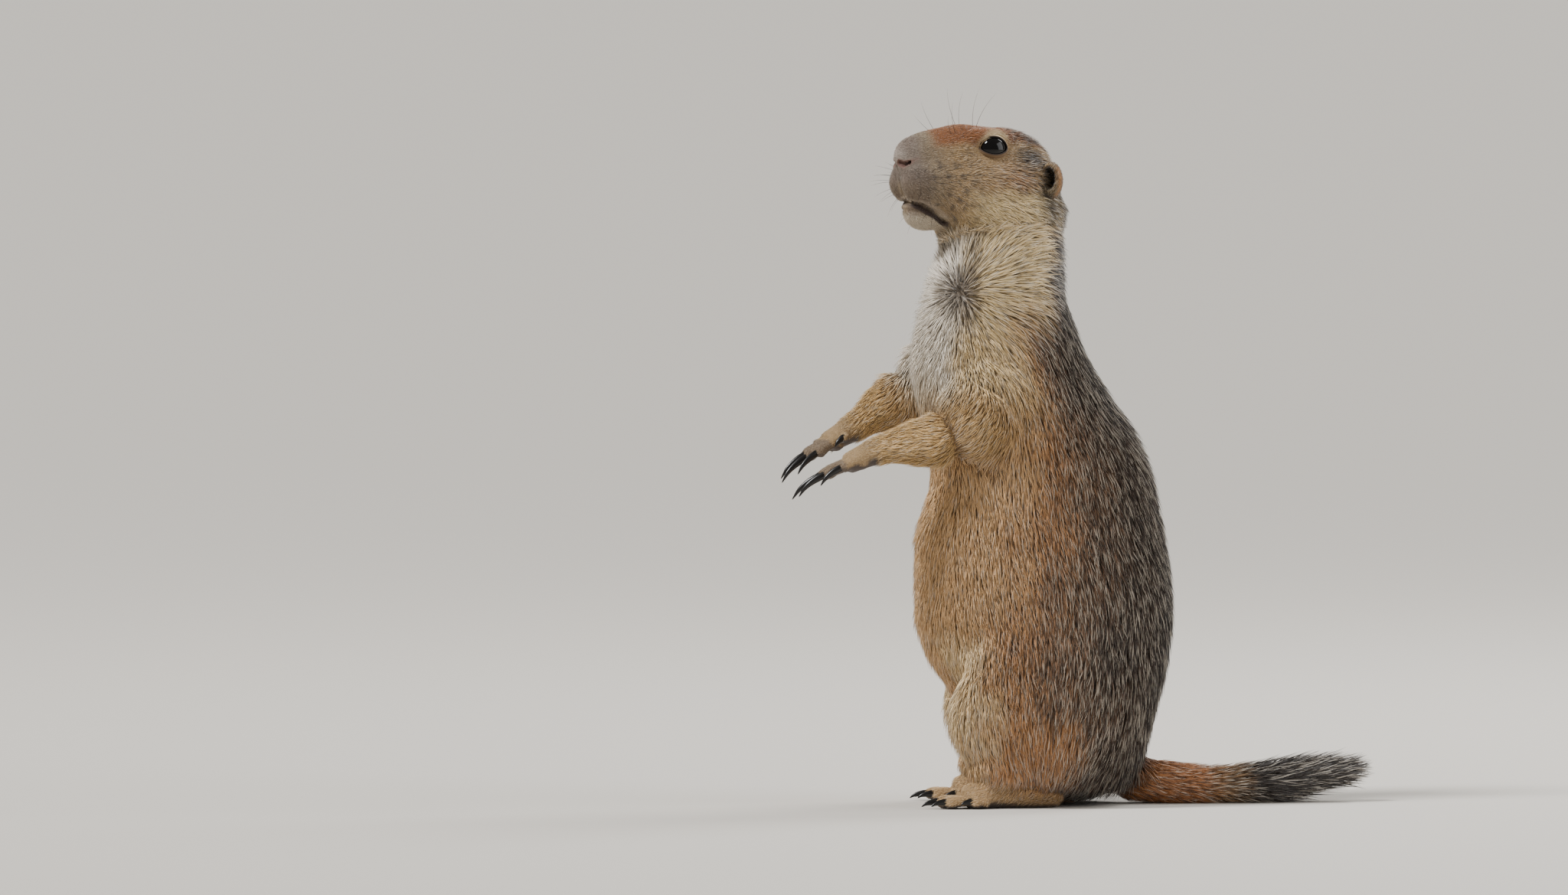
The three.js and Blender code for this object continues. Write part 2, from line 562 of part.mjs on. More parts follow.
/** The locks of the brush: each starts inside the core, leaves it gently and lies back to its tip. */
function brushLocks(curve) {
  const length = curve.getLength();
  return LOCK_RINGS.flatMap((ring, row) => Array.from({ length: ring.locks }, (_, i) => {
    const uneven = Math.sin(row * 5.3 + i * 7.9) * LOCK.unevenness;
    const angle = ((i + (row % 2) / 2 + uneven) / ring.locks) * 2 * Math.PI;
    const reach = (ring.length * (1 + uneven)) / length;
    const end = Math.min(ring.start + reach, 1);
    const path = [
      besideTail(curve, ring.start - 0.02, angle, 0.3),
      besideTail(curve, ring.start + reach * 0.3, angle, 0.78),
      besideTail(curve, ring.start + reach * 0.62, angle + uneven, 0.97),
      besideTail(curve, end, angle + uneven * 2, 0.92),
    ];
    const outward = besideTail(curve, end, angle, 1).sub(curve.getPointAt(end)).normalize();
    const taper = smoothLine([[0, 0.7], [0.4, 1], [0.75, 0.7], [1, 0.16]]);
    return limb({
      path, width: (t) => LOCK.width * taper(t), height: (t) => LOCK.thickness * taper(t),
      around: 4, along: 4, caps: [1, 1], up: outward,
    });
  }));
}

/** The tail in two lengths, its underside flat where it lies on the floor. */
function tailSolids(trunk) {
  const path = TAIL_PATH.map((p) => vector(p));
  const core = smoothLine([[0, 1], ...BRUSH_CORE]);
  const body = limb({
    path,
    width: (t) => tailWidthAt(t) * core(t),
    height: (t) => tailHeightAt(t) * core(t),
    around: 14, along: 20, caps: [5, 3],
  });
  const whole = aboveFloor(body).subtract(trunk);
  const curve = new THREE.CatmullRomCurve3(path, false, 'centripetal');
  const cut = {
    at: curve.getPointAt(TAIL_TIP_SHARE).toArray(), across: curve.getTangentAt(TAIL_TIP_SHARE).toArray(),
  };
  const brush = union([whole, ...brushLocks(curve).map(aboveFloor)]);
  return { tail_base: largest(beyond(whole, cut, -1)), tail_brush: largest(beyond(brush, cut, 1)) };
}

const model = new THREE.Group();

/** Adds a solid to the model as a named mesh. */
function addNode(name, solid, material) {
  const { vertProperties, triVerts } = solid.getMesh();
  const geometry = new THREE.BufferGeometry();
  geometry.setAttribute('position', new THREE.BufferAttribute(new Float32Array(vertProperties), 3));
  geometry.setIndex(new THREE.BufferAttribute(new Uint32Array(triVerts), 1));
  geometry.computeVertexNormals();
  const mesh = new THREE.Mesh(geometry, material);
  mesh.name = name;
  model.add(mesh);
}

/** The haunch's own piece of the trunk, cut out by an ellipsoid on that side. */
const haunchCutter = (side, grow) => {
  const centre = onSide(HAUNCH_CUT.centre, side);
  return ellipsoid(centre, vector(HAUNCH_CUT.radii).addScalar(grow), 18, 10);
};

const trunk = trunkSolid(26, 28);
const trunkClear = trunkSolid(26, 28, GAP);
const head = inPlace(headSolid());
const headClear = inPlace(headForm(24, 25, GAP));
const whole = union([head, trunk]);
const body = whole.subtract(union([haunchCutter(LEFT, GAP / 2), haunchCutter(RIGHT, GAP / 2)]));

addNode('head', largest(beyond(whole, HEAD_CUT, 1)), COLOURS.head);
addNode('neck', largest(beyond(beyond(body, HEAD_CUT, -1), NECK_CUT, 1)), COLOURS.head);
addNode('chest', largest(beyond(beyond(body, NECK_CUT, -1), WAIST_CUT, 1)), COLOURS.back);
addNode('belly', largest(beyond(body, WAIST_CUT, -1)), COLOURS.belly);

for (const [name, side] of [['left', LEFT], ['right', RIGHT]]) {
  addNode(`haunch_${name}`, largest(trunk.intersect(haunchCutter(side, -GAP / 2))), COLOURS.leg);
  const eye = ellipsoid(eyeCentre(side), new THREE.Vector3(EYE_RADIUS, EYE_RADIUS, EYE_RADIUS), 16, 9);
  addNode(`eye_${name}`, inPlace(eye), COLOURS.eye);
  addNode(`ear_${name}`, largest(inPlace(earSolid(side)).subtract(headClear)), COLOURS.head);
}

for (const [name, arm] of Object.entries(ARMS)) {
  const { claws, ...pieces } = armSolids(arm, trunkClear);
  for (const [piece, solid] of Object.entries(pieces)) addNode(`${piece}_${name}`, solid, COLOURS.arm);
  for (const { name: finger, solid } of claws) addNode(`claw_${finger}_${name}`, solid, COLOURS.claw);
}

for (const [name, leg] of Object.entries(LEGS)) {
  const { claws, ...pieces } = legSolids(leg, trunkClear);
  for (const [piece, solid] of Object.entries(pieces)) addNode(`${piece}_${name}`, solid, COLOURS.leg);
  for (const { name: toe, solid } of claws) addNode(`toe_claw_${toe}_${name}`, solid, COLOURS.claw);
}

const tail = tailSolids(trunkClear);
addNode('tail_base', tail.tail_base, COLOURS.tail);
addNode('tail_brush', tail.tail_brush, COLOURS.brush);

// The origin goes on the floor under the middle of the whole.
const middle = new THREE.Box3().setFromObject(model, true).getCenter(new THREE.Vector3());
model.position.set(-middle.x, -middle.y, 0);

export default model;
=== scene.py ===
"""The looks of a black-tailed prairie dog that stands upright: skin, coat, eyes, claws and whiskers.

Forms are worked out in millimetres in the animal's own frame: +Z up, the animal faces -Y, its left is +X,
and the middle of its stance is at x = y = 0. Meshes are put in place in metres, in the frame of the solids.
"""

import logging
import math
from dataclasses import dataclass, field
from enum import Enum
from typing import Callable

import bmesh
import bpy
import numpy as np
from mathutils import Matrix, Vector


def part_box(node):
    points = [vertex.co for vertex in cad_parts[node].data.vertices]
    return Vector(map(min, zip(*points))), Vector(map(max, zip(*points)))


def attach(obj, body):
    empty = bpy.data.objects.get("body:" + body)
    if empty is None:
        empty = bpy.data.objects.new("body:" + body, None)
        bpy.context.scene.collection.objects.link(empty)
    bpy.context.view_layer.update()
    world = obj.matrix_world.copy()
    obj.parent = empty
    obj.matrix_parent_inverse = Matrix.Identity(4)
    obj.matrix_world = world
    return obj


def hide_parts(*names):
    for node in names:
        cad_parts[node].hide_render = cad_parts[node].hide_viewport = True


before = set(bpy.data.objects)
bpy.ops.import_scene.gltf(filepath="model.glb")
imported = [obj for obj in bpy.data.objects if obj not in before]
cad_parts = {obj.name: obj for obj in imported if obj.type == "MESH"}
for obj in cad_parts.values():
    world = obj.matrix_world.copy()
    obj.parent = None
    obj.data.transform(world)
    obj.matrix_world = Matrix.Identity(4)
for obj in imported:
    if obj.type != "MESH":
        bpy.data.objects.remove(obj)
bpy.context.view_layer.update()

Array = np.ndarray
log = logging.getLogger("prairie_dog")

MM = 0.001
ROOT = "root"
PHOTO_WIDTH_PX = 2048
PHOTO_PIXEL_MM = 0.35  # one pixel of the photo at the animal, from its usual size
HAIR_FLOOR_MM = 0.1  # hair and claws stay this far above the floor
SKIN_FLOOR_MM = 0.3
LEFT = 1
RIGHT = -1
SIDES = {"left": LEFT, "right": RIGHT}


class Region(Enum):
    """The parts of the body that differ in the length, lie and colour of their hair."""

    TRUNK = 0
    HEAD = 1
    ARM_LEFT = 2
    ARM_RIGHT = 3
    LEG_LEFT = 4
    LEG_RIGHT = 5
    TAIL = 6


# Small helpers for whole arrays


def line(points: list[list[float]]) -> Callable[[Array], Array]:
    """A smooth line through [x, value] points that never overshoots them.

    Between two points the value is the cubic whose slopes at the points are the harmonic mean of the
    slopes on both sides.

    Args:
        points: [x, value] pairs in rising order of x.

    Returns:
        A function from an array of x to an array of values.
    """
    x, y = np.array(points, float).T
    rise = np.diff(y) / np.diff(x)
    product, total = rise[:-1] * rise[1:], rise[:-1] + rise[1:]
    inner = np.where(product > 0, 2 * product / np.where(total == 0, 1, total), 0)
    slope = np.concatenate([rise[:1], inner, rise[-1:]])

    def at(value: Array) -> Array:
        """The line's value at each x.

        Args:
            value: Where on the line to read it.

        Returns:
            One value for each.
        """
        v = np.clip(value, x[0], x[-1])
        i = np.clip(np.searchsorted(x, v, side="right") - 1, 0, len(x) - 2)
        span = x[i + 1] - x[i]
        t = (v - x[i]) / span
        a, b, da, db = y[i], y[i + 1], slope[i] * span, slope[i + 1] * span
        return a + t * (da + t * (3 * (b - a) - 2 * da - db + t * (2 * (a - b) + da + db)))

    return at


def ramp(value: Array, low: float, high: float) -> Array:
    """0 below low, 1 above high and an S-shaped rise between them; low may be above high."""
    t = np.clip((value - low) / (high - low), 0, 1)
    return t * t * (3 - 2 * t)


def unit(vectors: Array) -> Array:
    """The vectors of the last axis, each made one long."""
    return vectors / np.maximum(np.linalg.norm(vectors, axis=-1, keepdims=True), 1e-9)


def dot(a: Array, b: Array) -> Array:
    """The dot product over the last axis."""
    return np.sum(a * b, axis=-1)


def hashed(points: Array, scale: float, seed: float) -> Array:
    """Soft random values from 0 to 1 that vary over about `scale` mm.

    Three sets of crossed sine waves, each bent by the one before.

    Args:
        points: Places in mm.
        scale: The size of the spots in mm.
        seed: A number that shifts the pattern.

    Returns:
        One value for each point.
    """
    p = points / scale
    wave = np.sin(p[:, 0] * 1.7 + np.sin(p[:, 1] * 2.3 + seed) * 1.9 + seed * 3.1)
    wave = wave + np.sin(p[:, 1] * 2.1 + np.sin(p[:, 2] * 1.9 + seed * 1.7) * 1.7 + wave)
    wave = wave + np.sin(p[:, 2] * 1.6 + np.sin(p[:, 0] * 2.6 - seed) * 1.8 + wave * 0.7)
    return 0.5 + wave / 6


def ellipsoid_distance(points: Array, centre: Array, radii: Array) -> Array:
    """About how far each point lies outside an ellipsoid, in mm.

    Args:
        points: Places in mm.
        centre: The middle of the ellipsoid.
        radii: Its three half sizes in mm.

    Returns:
        One distance in mm for each point, below 0 inside.
    """
    offset = points - centre
    scaled = offset / radii
    reach = np.linalg.norm(scaled, axis=-1)
    steep = np.linalg.norm(scaled / radii, axis=-1)
    return reach * (reach - 1) / np.maximum(steep, 1e-6)


def blended(a: Array, b: Array, width: float) -> Array:
    """The smaller of two distances, rounded over where they are closer than `width`."""
    h = np.maximum(width - np.abs(a - b), 0) / width
    return np.minimum(a, b) - h * h * width / 4


def turned(points: Array, degrees: Array | float) -> Array:
    """The points turned about the upright axis.

    Args:
        points: Places or directions.
        degrees: The angle, from +X toward +Y: one, or one for each point.

    Returns:
        The turned points.
    """
    a = np.radians(degrees)
    x = points[..., 0] * np.cos(a) - points[..., 1] * np.sin(a)
    y = points[..., 0] * np.sin(a) + points[..., 1] * np.cos(a)
    return np.stack([x, y, points[..., 2]], axis=-1)


def to_linear(code: str) -> Array:
    """The linear red, green and blue of an sRGB hex colour such as #a0703c."""
    value = np.array([int(code[i:i + 2], 16) for i in (1, 3, 5)]) / 255
    return np.where(value <= 0.04045, value / 12.92, ((value + 0.055) / 1.055) ** 2.4)


def linked(name: str, data: bpy.types.ID) -> bpy.types.Object:
    """A new object that is in the scene.

    Args:
        name: The object's name.
        data: Its mesh, light or camera.

    Returns:
        The object, at the origin.
    """
    made = bpy.data.objects.new(name, data)
    bpy.context.scene.collection.objects.link(made)
    return made


def mesh_object(name: str, points: Array, faces: Array, smooth: bool = True) -> bpy.types.Object:
    """A mesh object from points in the animal's frame, put in place in metres.

    Args:
        name: The object's name.
        points: N by 3 array in mm.
        faces: M by 3 or M by 4 array of corner numbers.
        smooth: Whether the faces are shaded smooth.

    Returns:
        The new object, at the origin.
    """
    mesh = bpy.data.meshes.new(name)
    corners = faces.shape[1]
    mesh.vertices.add(len(points))
    mesh.vertices.foreach_set("co", ((points + SHIFT) * MM).astype(np.float32).ravel())
    mesh.loops.add(faces.size)
    mesh.loops.foreach_set("vertex_index", faces.astype(np.int32).ravel())
    mesh.polygons.add(len(faces))
    mesh.polygons.foreach_set("loop_start", np.arange(len(faces), dtype=np.int32) * corners)
    mesh.polygons.foreach_set("loop_total", np.full(len(faces), corners, dtype=np.int32))
    mesh.polygons.foreach_set("use_smooth", np.full(len(faces), smooth))
    mesh.update()
    mesh.validate()
    return linked(name, mesh)


def grid_faces(rows: int, columns: int, around: bool = True) -> Array:
    """The four-cornered faces of a grid whose columns go once around when `around` is true.

    Args:
        rows: How many rows of points.
        columns: How many points in a row.
        around: Whether each row closes on itself.

    Returns:
        N by 4 array of corner numbers.
    """
    last = columns if around else columns - 1
    r, c = np.meshgrid(np.arange(rows - 1), np.arange(last), indexing="ij")
    a = r * columns + c
    b = r * columns + (c + 1) % columns
    return np.stack([a, b, b + columns, a + columns], axis=-1).reshape(-1, 4)


def closed_grid(rings: Array) -> tuple[Array, Array]:
    """A closed surface from rings of points, its two ends closed to the middle of the end rings.

    Args:
        rings: rows by columns by 3 array, each row once around.

    Returns:
        The points and the triangles.
    """
    rows, columns, _ = rings.shape
    quads = grid_faces(rows, columns)
    sides = np.concatenate([quads[:, [0, 1, 2]], quads[:, [0, 2, 3]]])
    points = np.concatenate([rings.reshape(-1, 3), rings[0].mean(0)[None], rings[-1].mean(0)[None]])
    first = np.arange(columns)
    second = (first + 1) % columns
    base = (rows - 1) * columns
    start = np.stack([second, first, np.full(columns, rows * columns)], axis=-1)
    end = np.stack([first + base, second + base, np.full(columns, rows * columns + 1)], axis=-1)
    return points, np.concatenate([sides, start, end])


def joined(parts: list[tuple[Array, Array]]) -> tuple[Array, Array]:
    """Several (points, faces) meshes as one.

    Args:
        parts: The points and faces of each mesh.

    Returns:
        The points and faces of all of them.
    """
    counts = np.cumsum([0] + [len(points) for points, _ in parts[:-1]])
    points = np.concatenate([points for points, _ in parts])
    faces = np.concatenate([faces + count for (_, faces), count in zip(parts, counts)])
    return points, faces


def along_curve(points: list[list[float]], shares: Array) -> tuple[Array, Array]:
    """Places and directions along a centripetal Catmull-Rom curve, at even shares of its length.

    Args:
        points: The places that the curve passes.
        shares: Shares of the whole length, from 0 to 1.

    Returns:
        The places and the unit directions.
    """
    p = np.array(points, float)
    p = np.concatenate([[2 * p[0] - p[1]], p, [2 * p[-1] - p[-2]]])
    fine = np.linspace(0, 1, 24, endpoint=False)[:, None]
    pieces = []
    for a, b, c, d in zip(p[:-3], p[1:-2], p[2:-1], p[3:]):
        ta, tb, tc = (np.linalg.norm(m - n) ** 0.5 for m, n in ((b, a), (c, b), (d, c)))
        start = ((b - a) / ta - (c - a) / (ta + tb) + (c - b) / tb) * tb
        end = ((c - b) / tb - (d - b) / (tb + tc) + (d - c) / tc) * tb
        pieces.append(b + fine * (start + fine * (3 * (c - b) - 2 * start - end
                                                  + fine * (2 * (b - c) + start + end))))
    dense = np.concatenate(pieces + [p[-2:-1]])
    walked = np.concatenate([[0], np.cumsum(np.linalg.norm(np.diff(dense, axis=0), axis=1))])
    at = np.asarray(shares) * walked[-1]
    step = walked[-1] * 0.004

    def place(distance: Array) -> Array:
        """The places at these distances along the curve."""
        return np.stack([np.interp(distance, walked, dense[:, k]) for k in range(3)], axis=-1)

    forward = unit(place(np.minimum(at + step, walked[-1])) - place(np.maximum(at - step, 0)))
    return place(at), forward


def rounded_ends(distance: Array, length: float, start: float, end: float) -> Array:
    """1 along a limb and falling to 0 over its rounded ends.

    Args:
        distance: How far along the limb, in mm.
        length: The limb's length in mm.
        start: How long the rounding at its start is, in mm.
        end: How long the rounding at its end is, in mm.

    Returns:
        The share of the full size at each distance.
    """
    first = np.sqrt(np.clip(1 - np.clip((start - distance) / start, 0, 1) ** 2, 0, 1))
    last = np.sqrt(np.clip(1 - np.clip((end - length + distance) / end, 0, 1) ** 2, 0, 1))
    return first * last


@dataclass
class Limb:
    """A part of oval section along a path: a limb, a finger, a claw or the tail."""

    path: list[list[float]]
    width: list[list[float]]
    height: list[list[float]]
    caps: tuple[float, float] = (4.0, 4.0)
    up: tuple[float, float, float] = (0.0, 0.0, 1.0)
    samples: int = 26

    def __post_init__(self) -> None:
        """Works out the middle line, its frames and its half sizes."""
        share = np.linspace(0, 1, self.samples)
        self.middle, self.forward = along_curve(self.path, share)
        self.side = unit(np.cross(self.forward, np.array(self.up)))
        self.over = np.cross(self.side, self.forward)
        self.length = float(np.linalg.norm(np.diff(self.middle, axis=0), axis=1).sum())
        self.half_width = line(self.width)(share)
        self.half_height = line(self.height)(share)

    def rings(self, around: int = 20) -> Array:
        """The surface as rings: middle + cos(angle) * half width + sin(angle) * half height.

        Args:
            around: How many points go once around.

        Returns:
            Array of samples by around by 3.
        """
        share = np.linspace(0, 1, self.samples)
        size = rounded_ends(share * self.length, self.length, *self.caps)
        size = np.maximum(size, 0.05)
        angle = np.linspace(0, 2 * np.pi, around, endpoint=False)[None, :, None]
        width = (self.half_width * size)[:, None, None]
        height = (self.half_height * size)[:, None, None]
        return (self.middle[:, None] + np.cos(angle) * width * self.side[:, None]
                + np.sin(angle) * height * self.over[:, None])

    def local(self, points: Array) -> tuple[Array, Array, Array, Array]:
        """Where points lie beside the middle line.

        Args:
            points: N by 3 array in mm.

        Returns:
            The share of the length, the distance past the ends, and the offsets to the side and over.
        """
        best = np.full(len(points), np.inf)
        index = np.zeros(len(points), int)
        for k in range(self.samples):
            away = np.sum((points - self.middle[k]) ** 2, axis=1)
            nearer = away < best
            best[nearer] = away[nearer]
            index[nearer] = k
        step = self.length / (self.samples - 1)
        offset = points - self.middle[index]
        ahead = dot(offset, self.forward[index])
        real = index + ahead / step
        share = np.clip(real, 0, self.samples - 1)
        past = np.abs(real - share) * step
        low = np.minimum(share.astype(int), self.samples - 2)
        t = (share - low)[:, None]
        centre = self.middle[low] * (1 - t) + self.middle[low + 1] * t
        side = unit(self.side[low] * (1 - t) + self.side[low + 1] * t)
        over = unit(self.over[low] * (1 - t) + self.over[low + 1] * t)
        offset = points - centre
        return share / (self.samples - 1), past, dot(offset, side), dot(offset, over)

    def distance(self, points: Array) -> Array:
        """About how far each point lies outside the limb.

        Args:
            points: Places in the animal's frame, in mm.

        Returns:
            One distance in mm for each point, below 0 inside.
        """
        share, past, side, over = self.local(points)
        grid = np.linspace(0, 1, self.samples)
        size = rounded_ends(share * self.length, self.length, *self.caps)
        size = np.maximum(size, 0.25)
        width = np.interp(share, grid, self.half_width) * size
        height = np.interp(share, grid, self.half_height) * size
        radii = np.stack([width, height, np.minimum(width, height) * 0.6], axis=-1)
        return ellipsoid_distance(np.stack([side, over, past], axis=-1), np.zeros(3), radii)

    def around(self, points: Array) -> tuple[Array, Array]:
        """The share of the length and the angle around the middle line, in turns, of each point."""
        share, _, side, over = self.local(points)
        return share, np.arctan2(over, side) / (2 * np.pi) + 0.5


# The body's sizes, as in the solids


@dataclass
class Trunk:
    """The trunk: an oval section at each height that turns as it rises, and swellings on it."""

    bottom: float = 4.0
    top: float = 280.0
    belly: list = field(default_factory=lambda: [
        [4, -24], [20, -34], [42, -42], [56, -49], [72, -58.5], [90, -63], [122, -63.5], [150, -58.5],
        [180, -64], [202, -68], [228, -63], [242, -58.5], [258, -51], [280, -42]])
    back: list = field(default_factory=lambda: [
        [4, 34], [20, 43], [42, 49.5], [72, 56], [90, 57.5], [122, 55], [150, 50.5], [168, 44], [188, 30.5],
        [214, 17], [242, 9], [258, 8.5], [280, 4]])
    side: list = field(default_factory=lambda: [
        [4, 34], [28, 45], [62, 53], [98, 54], [140, 46], [176, 39], [206, 33.5], [232, 28.5], [258, 25],
        [280, 21]])
    twist: list = field(default_factory=lambda: [[70, 0], [180, 26], [258, 20]])
    swellings: list = field(default_factory=lambda: [
        ([34, -8, 50], [23, 40, 42]), ([-34, -2, 50], [23, 40, 42]),
        ([33, -37, 40], [14, 15.5, 22]), ([-33, -25, 40], [14, 15.5, 22]),
        ([31, -36, 182], [14, 20, 21]), ([-20, -50, 194], [14, 18, 22])])
    blend: float = 9.0

    def __post_init__(self) -> None:
        """Makes the smooth lines of the outline."""
        self.belly_at, self.back_at = line(self.belly), line(self.back)
        self.side_at, self.twist_at = line(self.side), line(self.twist)

    def section(self, points: Array) -> Array:
        """The points in the frame of the section at their height: middle at 0, front at -y.

        Args:
            points: Places in the animal's frame, in mm.

        Returns:
            The points in that frame.
        """
        z = points[:, 2]
        middle = (self.belly_at(z) + self.back_at(z)) / 2
        moved = points - np.stack([np.zeros_like(z), middle, np.zeros_like(z)], axis=-1)
        return turned(moved, -self.twist_at(z))

    def distance(self, points: Array) -> Array:
        """About how far each point lies outside the trunk.

        Args:
            points: Places in the animal's frame, in mm.

        Returns:
            One distance in mm for each point, below 0 inside.
        """
        z = points[:, 2]
        height = self.top - self.bottom
        size = np.maximum(rounded_ends(z - self.bottom, height, 10, 8), 0.2)
        depth = (self.back_at(z) - self.belly_at(z)) / 2 * size
        local = self.section(points)
        beyond = np.maximum(self.bottom - z, 0) + np.maximum(z - self.top, 0)
        local[:, 2] = beyond
        radii = np.stack([self.side_at(z) * size, depth, np.full_like(z, 3.0)], axis=-1)
        result = ellipsoid_distance(local, np.zeros(3), radii)
        for centre, form in self.swellings:
            result = blended(result, ellipsoid_distance(points, np.array(centre), np.array(form)), self.blend)
        return result

    def around(self, points: Array) -> Array:
        """The angle around the trunk of each point: 0 at the belly's midline, 0.5 at the back, -0.25 or
        0.25 at the sides, in turns, positive on the animal's left."""
        local = self.section(points)
        return np.arctan2(local[:, 0], -local[:, 1]) / (2 * np.pi)

    def rings(self) -> Array:
        """A rough surface of the section at each height, for the remesh to start from.

        Returns:
            Array of heights by points around by 3.
        """
        z = np.linspace(self.bottom, self.top, 60)
        size = np.maximum(rounded_ends(z - self.bottom, self.top - self.bottom, 10, 8), 0.1)
        angle = np.linspace(0, 2 * np.pi, 64, endpoint=False)
        x = np.cos(angle)[None] * (self.side_at(z) * size)[:, None]
        y = np.sin(angle)[None] * ((self.back_at(z) - self.belly_at(z)) / 2 * size)[:, None]
        flat = np.stack([x, y, np.broadcast_to(z[:, None], x.shape)], axis=-1)
        flat = turned(flat, self.twist_at(z)[:, None])
        flat[..., 1] += ((self.belly_at(z) + self.back_at(z)) / 2)[:, None]
        return flat


@dataclass
class Head:
    """The head in its own frame: x to its left, y backward from the tip of the nose, z up."""

    pivot: tuple = (0.0, -36.0, 292.0)
    nose_to_pivot: float = 40.0
    turn: float = 18.0
    blend: float = 4.5
    centre: tuple = (0.0, 42.0, -8.0)
    forms: list = field(default_factory=lambda: [
        ([0, 51, -4.5], [24, 29.5, 22.8]), ([0, 34, 5.5], [17, 20, 14]), ([0, 19, 4], [11, 16, 12.5]),
        ([0, 7.4, 3.5], [7.2, 6.6, 8.2]), ([0, 16.5, -21], [9, 11.5, 9]), ([0, 44, -24], [19, 24, 15]),
        ([0, 62, -18], [22, 23, 22])])
    pairs: list = field(default_factory=lambda: [
        ([5.8, 11.5, -7.5], [7.6, 10.5, 9.8]), ([13.5, 43, -13], [13, 23, 18]),
        ([9, 26, -8], [9, 16, 13]), ([13.5, 42, 13.5], [6, 12, 5])])
    eye_back: float = 42.5
    eye_up: float = 7.5
    eye_sunk: float = 5.4
    eye_radius: float = 6.9
    opening: tuple = (12.6, 8.0)
    aim: tuple = (0.93, -0.2, 0.3)
    ear: tuple = (71.0, -7.0)

    def __post_init__(self) -> None:
        """Lists the forms of both sides."""
        self.all = [(np.array(c, float), np.array(r, float)) for c, r in self.forms]
        for side in (LEFT, RIGHT):
            mirror = np.array([side, 1, 1])
            self.all += [(np.array(c, float) * mirror, np.array(r, float)) for c, r in self.pairs]

    def to_body(self, local: Array) -> Array:
        """Places of the head's frame in the body's frame."""
        return turned(local - np.array([0, self.nose_to_pivot, 0]), self.turn) + np.array(self.pivot)

    def to_head(self, points: Array) -> Array:
        """Places of the body's frame in the head's frame."""
        return turned(points - np.array(self.pivot), -self.turn) + np.array([0, self.nose_to_pivot, 0])

    def distance_local(self, local: Array) -> Array:
        """About how far each point of the head's frame lies outside the head.

        Args:
            local: Places in the head's frame, in mm.

        Returns:
            One distance in mm for each point, below 0 inside.
        """
        result = ellipsoid_distance(local, *self.all[0])
        for centre, radii in self.all[1:]:
            result = blended(result, ellipsoid_distance(local, centre, radii), self.blend)
        return result

    def reach(self, start: Array, direction: Array, inset: float = 0.0) -> Array:
        """Where rays from inside leave the head, found by halving: the surface `inset` mm below it.

        Args:
            start: Places inside the head, one for each ray.
            direction: The unit direction of each ray.
            inset: How far below the surface the ray ends, in mm.

        Returns:
            The place where each ray ends.
        """
        low, high = np.zeros(len(start)), np.full(len(start), 60.0)
        for _ in range(24):
            middle = (low + high) / 2
            inside = self.distance_local(start + direction * middle[:, None]) < -inset
            low, high = np.where(inside, middle, low), np.where(inside, high, middle)
        return start + direction * ((low + high) / 2)[:, None]

    def side_at(self, back: Array, up: Array) -> Array:
        """The half width of the head at places given by their distance back and up.

        Args:
            back: Distance back from the tip of the nose, in mm.
            up: Height in the head's frame, in mm.

        Returns:
            One half width for each place.
        """
        back, up = np.broadcast_arrays(np.asarray(back, float), np.asarray(up, float))
        start = np.stack([np.zeros(back.size), back.ravel(), up.ravel()], axis=-1)
        return self.reach(start, np.tile([1.0, 0, 0], (back.size, 1)))[:, 0]

    def eye_centre(self, side: int) -> Array:
        """The centre of an eyeball in the head's frame."""
        x = float(self.side_at(self.eye_back, self.eye_up)[0]) - self.eye_sunk
        return np.array([side * x, self.eye_back, self.eye_up])

    def rings(self) -> Array:
        """The head's surface in the body's frame: rays from its centre, in rings about its long axis.

        Returns:
            Array of rings by points around by 3.
        """
        polar = np.linspace(0.02, np.pi - 0.02, 56)[:, None]
        angle = np.linspace(0, 2 * np.pi, 64, endpoint=False)[None]
        ring = np.sin(polar)
        back = -np.cos(polar) * np.ones_like(angle)
        direction = np.stack([ring * np.cos(angle), back, ring * np.sin(angle)], axis=-1)
        flat = direction.reshape(-1, 3)
        start = np.tile(np.array(self.centre), (len(flat), 1))
        return self.to_body(self.reach(start, flat)).reshape(direction.shape)


@dataclass
class Paw:
    """The digits of one paw or foot: fingers, and the claws at their tips."""

    base: Array
    forward: Array
    across: Array
    side: int
    fall: float
    radius: float
    digits: list
    claw_size: tuple[float, float, float]

    def fingers(self) -> tuple[list[Limb], list[Limb]]:
        """The fingers and the claws.

        Returns:
            Two lists of limbs, one for the fingers and one for the claws.
        """
        fingers, claws = [], []
        up = np.array([0, 0, 1.0])
        for name, offset, start, length, claw in self.digits:
            root = self.base + self.across * offset * self.side + self.forward * start
            spread = unit(self.forward + self.across * offset * self.side * 0.03)

            def at(share: float, drop: float) -> Array:
                """A place along the finger."""
                return root + spread * length * share - up * self.fall * length * drop

            thin = self.radius * (0.75 if name == "thumb" else 1.0)
            swell = [[0, thin], [0.5, 0.9 * thin], [0.8, 1.05 * thin], [1, 0.88 * thin]]
            fingers.append(Limb([at(-0.35, 0), at(0.3, -0.06), at(0.7, 0.12), at(1, 0.34)], swell, swell,
                                (2.0, 2.6), samples=12))
            tip = at(1, 0.34) - spread * 0.4 + up * self.radius * 0.22
            height, width, droop = self.claw_size
            fall = droop * claw
            path = [tip - spread * 2.5 + up * 0.2, tip + spread * claw * 0.35 - up * fall * 0.1,
                    tip + spread * claw * 0.72 - up * fall * 0.5, tip + spread * claw - up * fall * 1.3]
            taper = [[0, 0.8], [0.25, 1], [0.6, 0.72], [1, 0.12]]
            claws.append(Limb(path, [[t, width * v] for t, v in taper], [[t, height * v] for t, v in taper],
                              (1.2, 0.6), samples=22))
        return fingers, claws


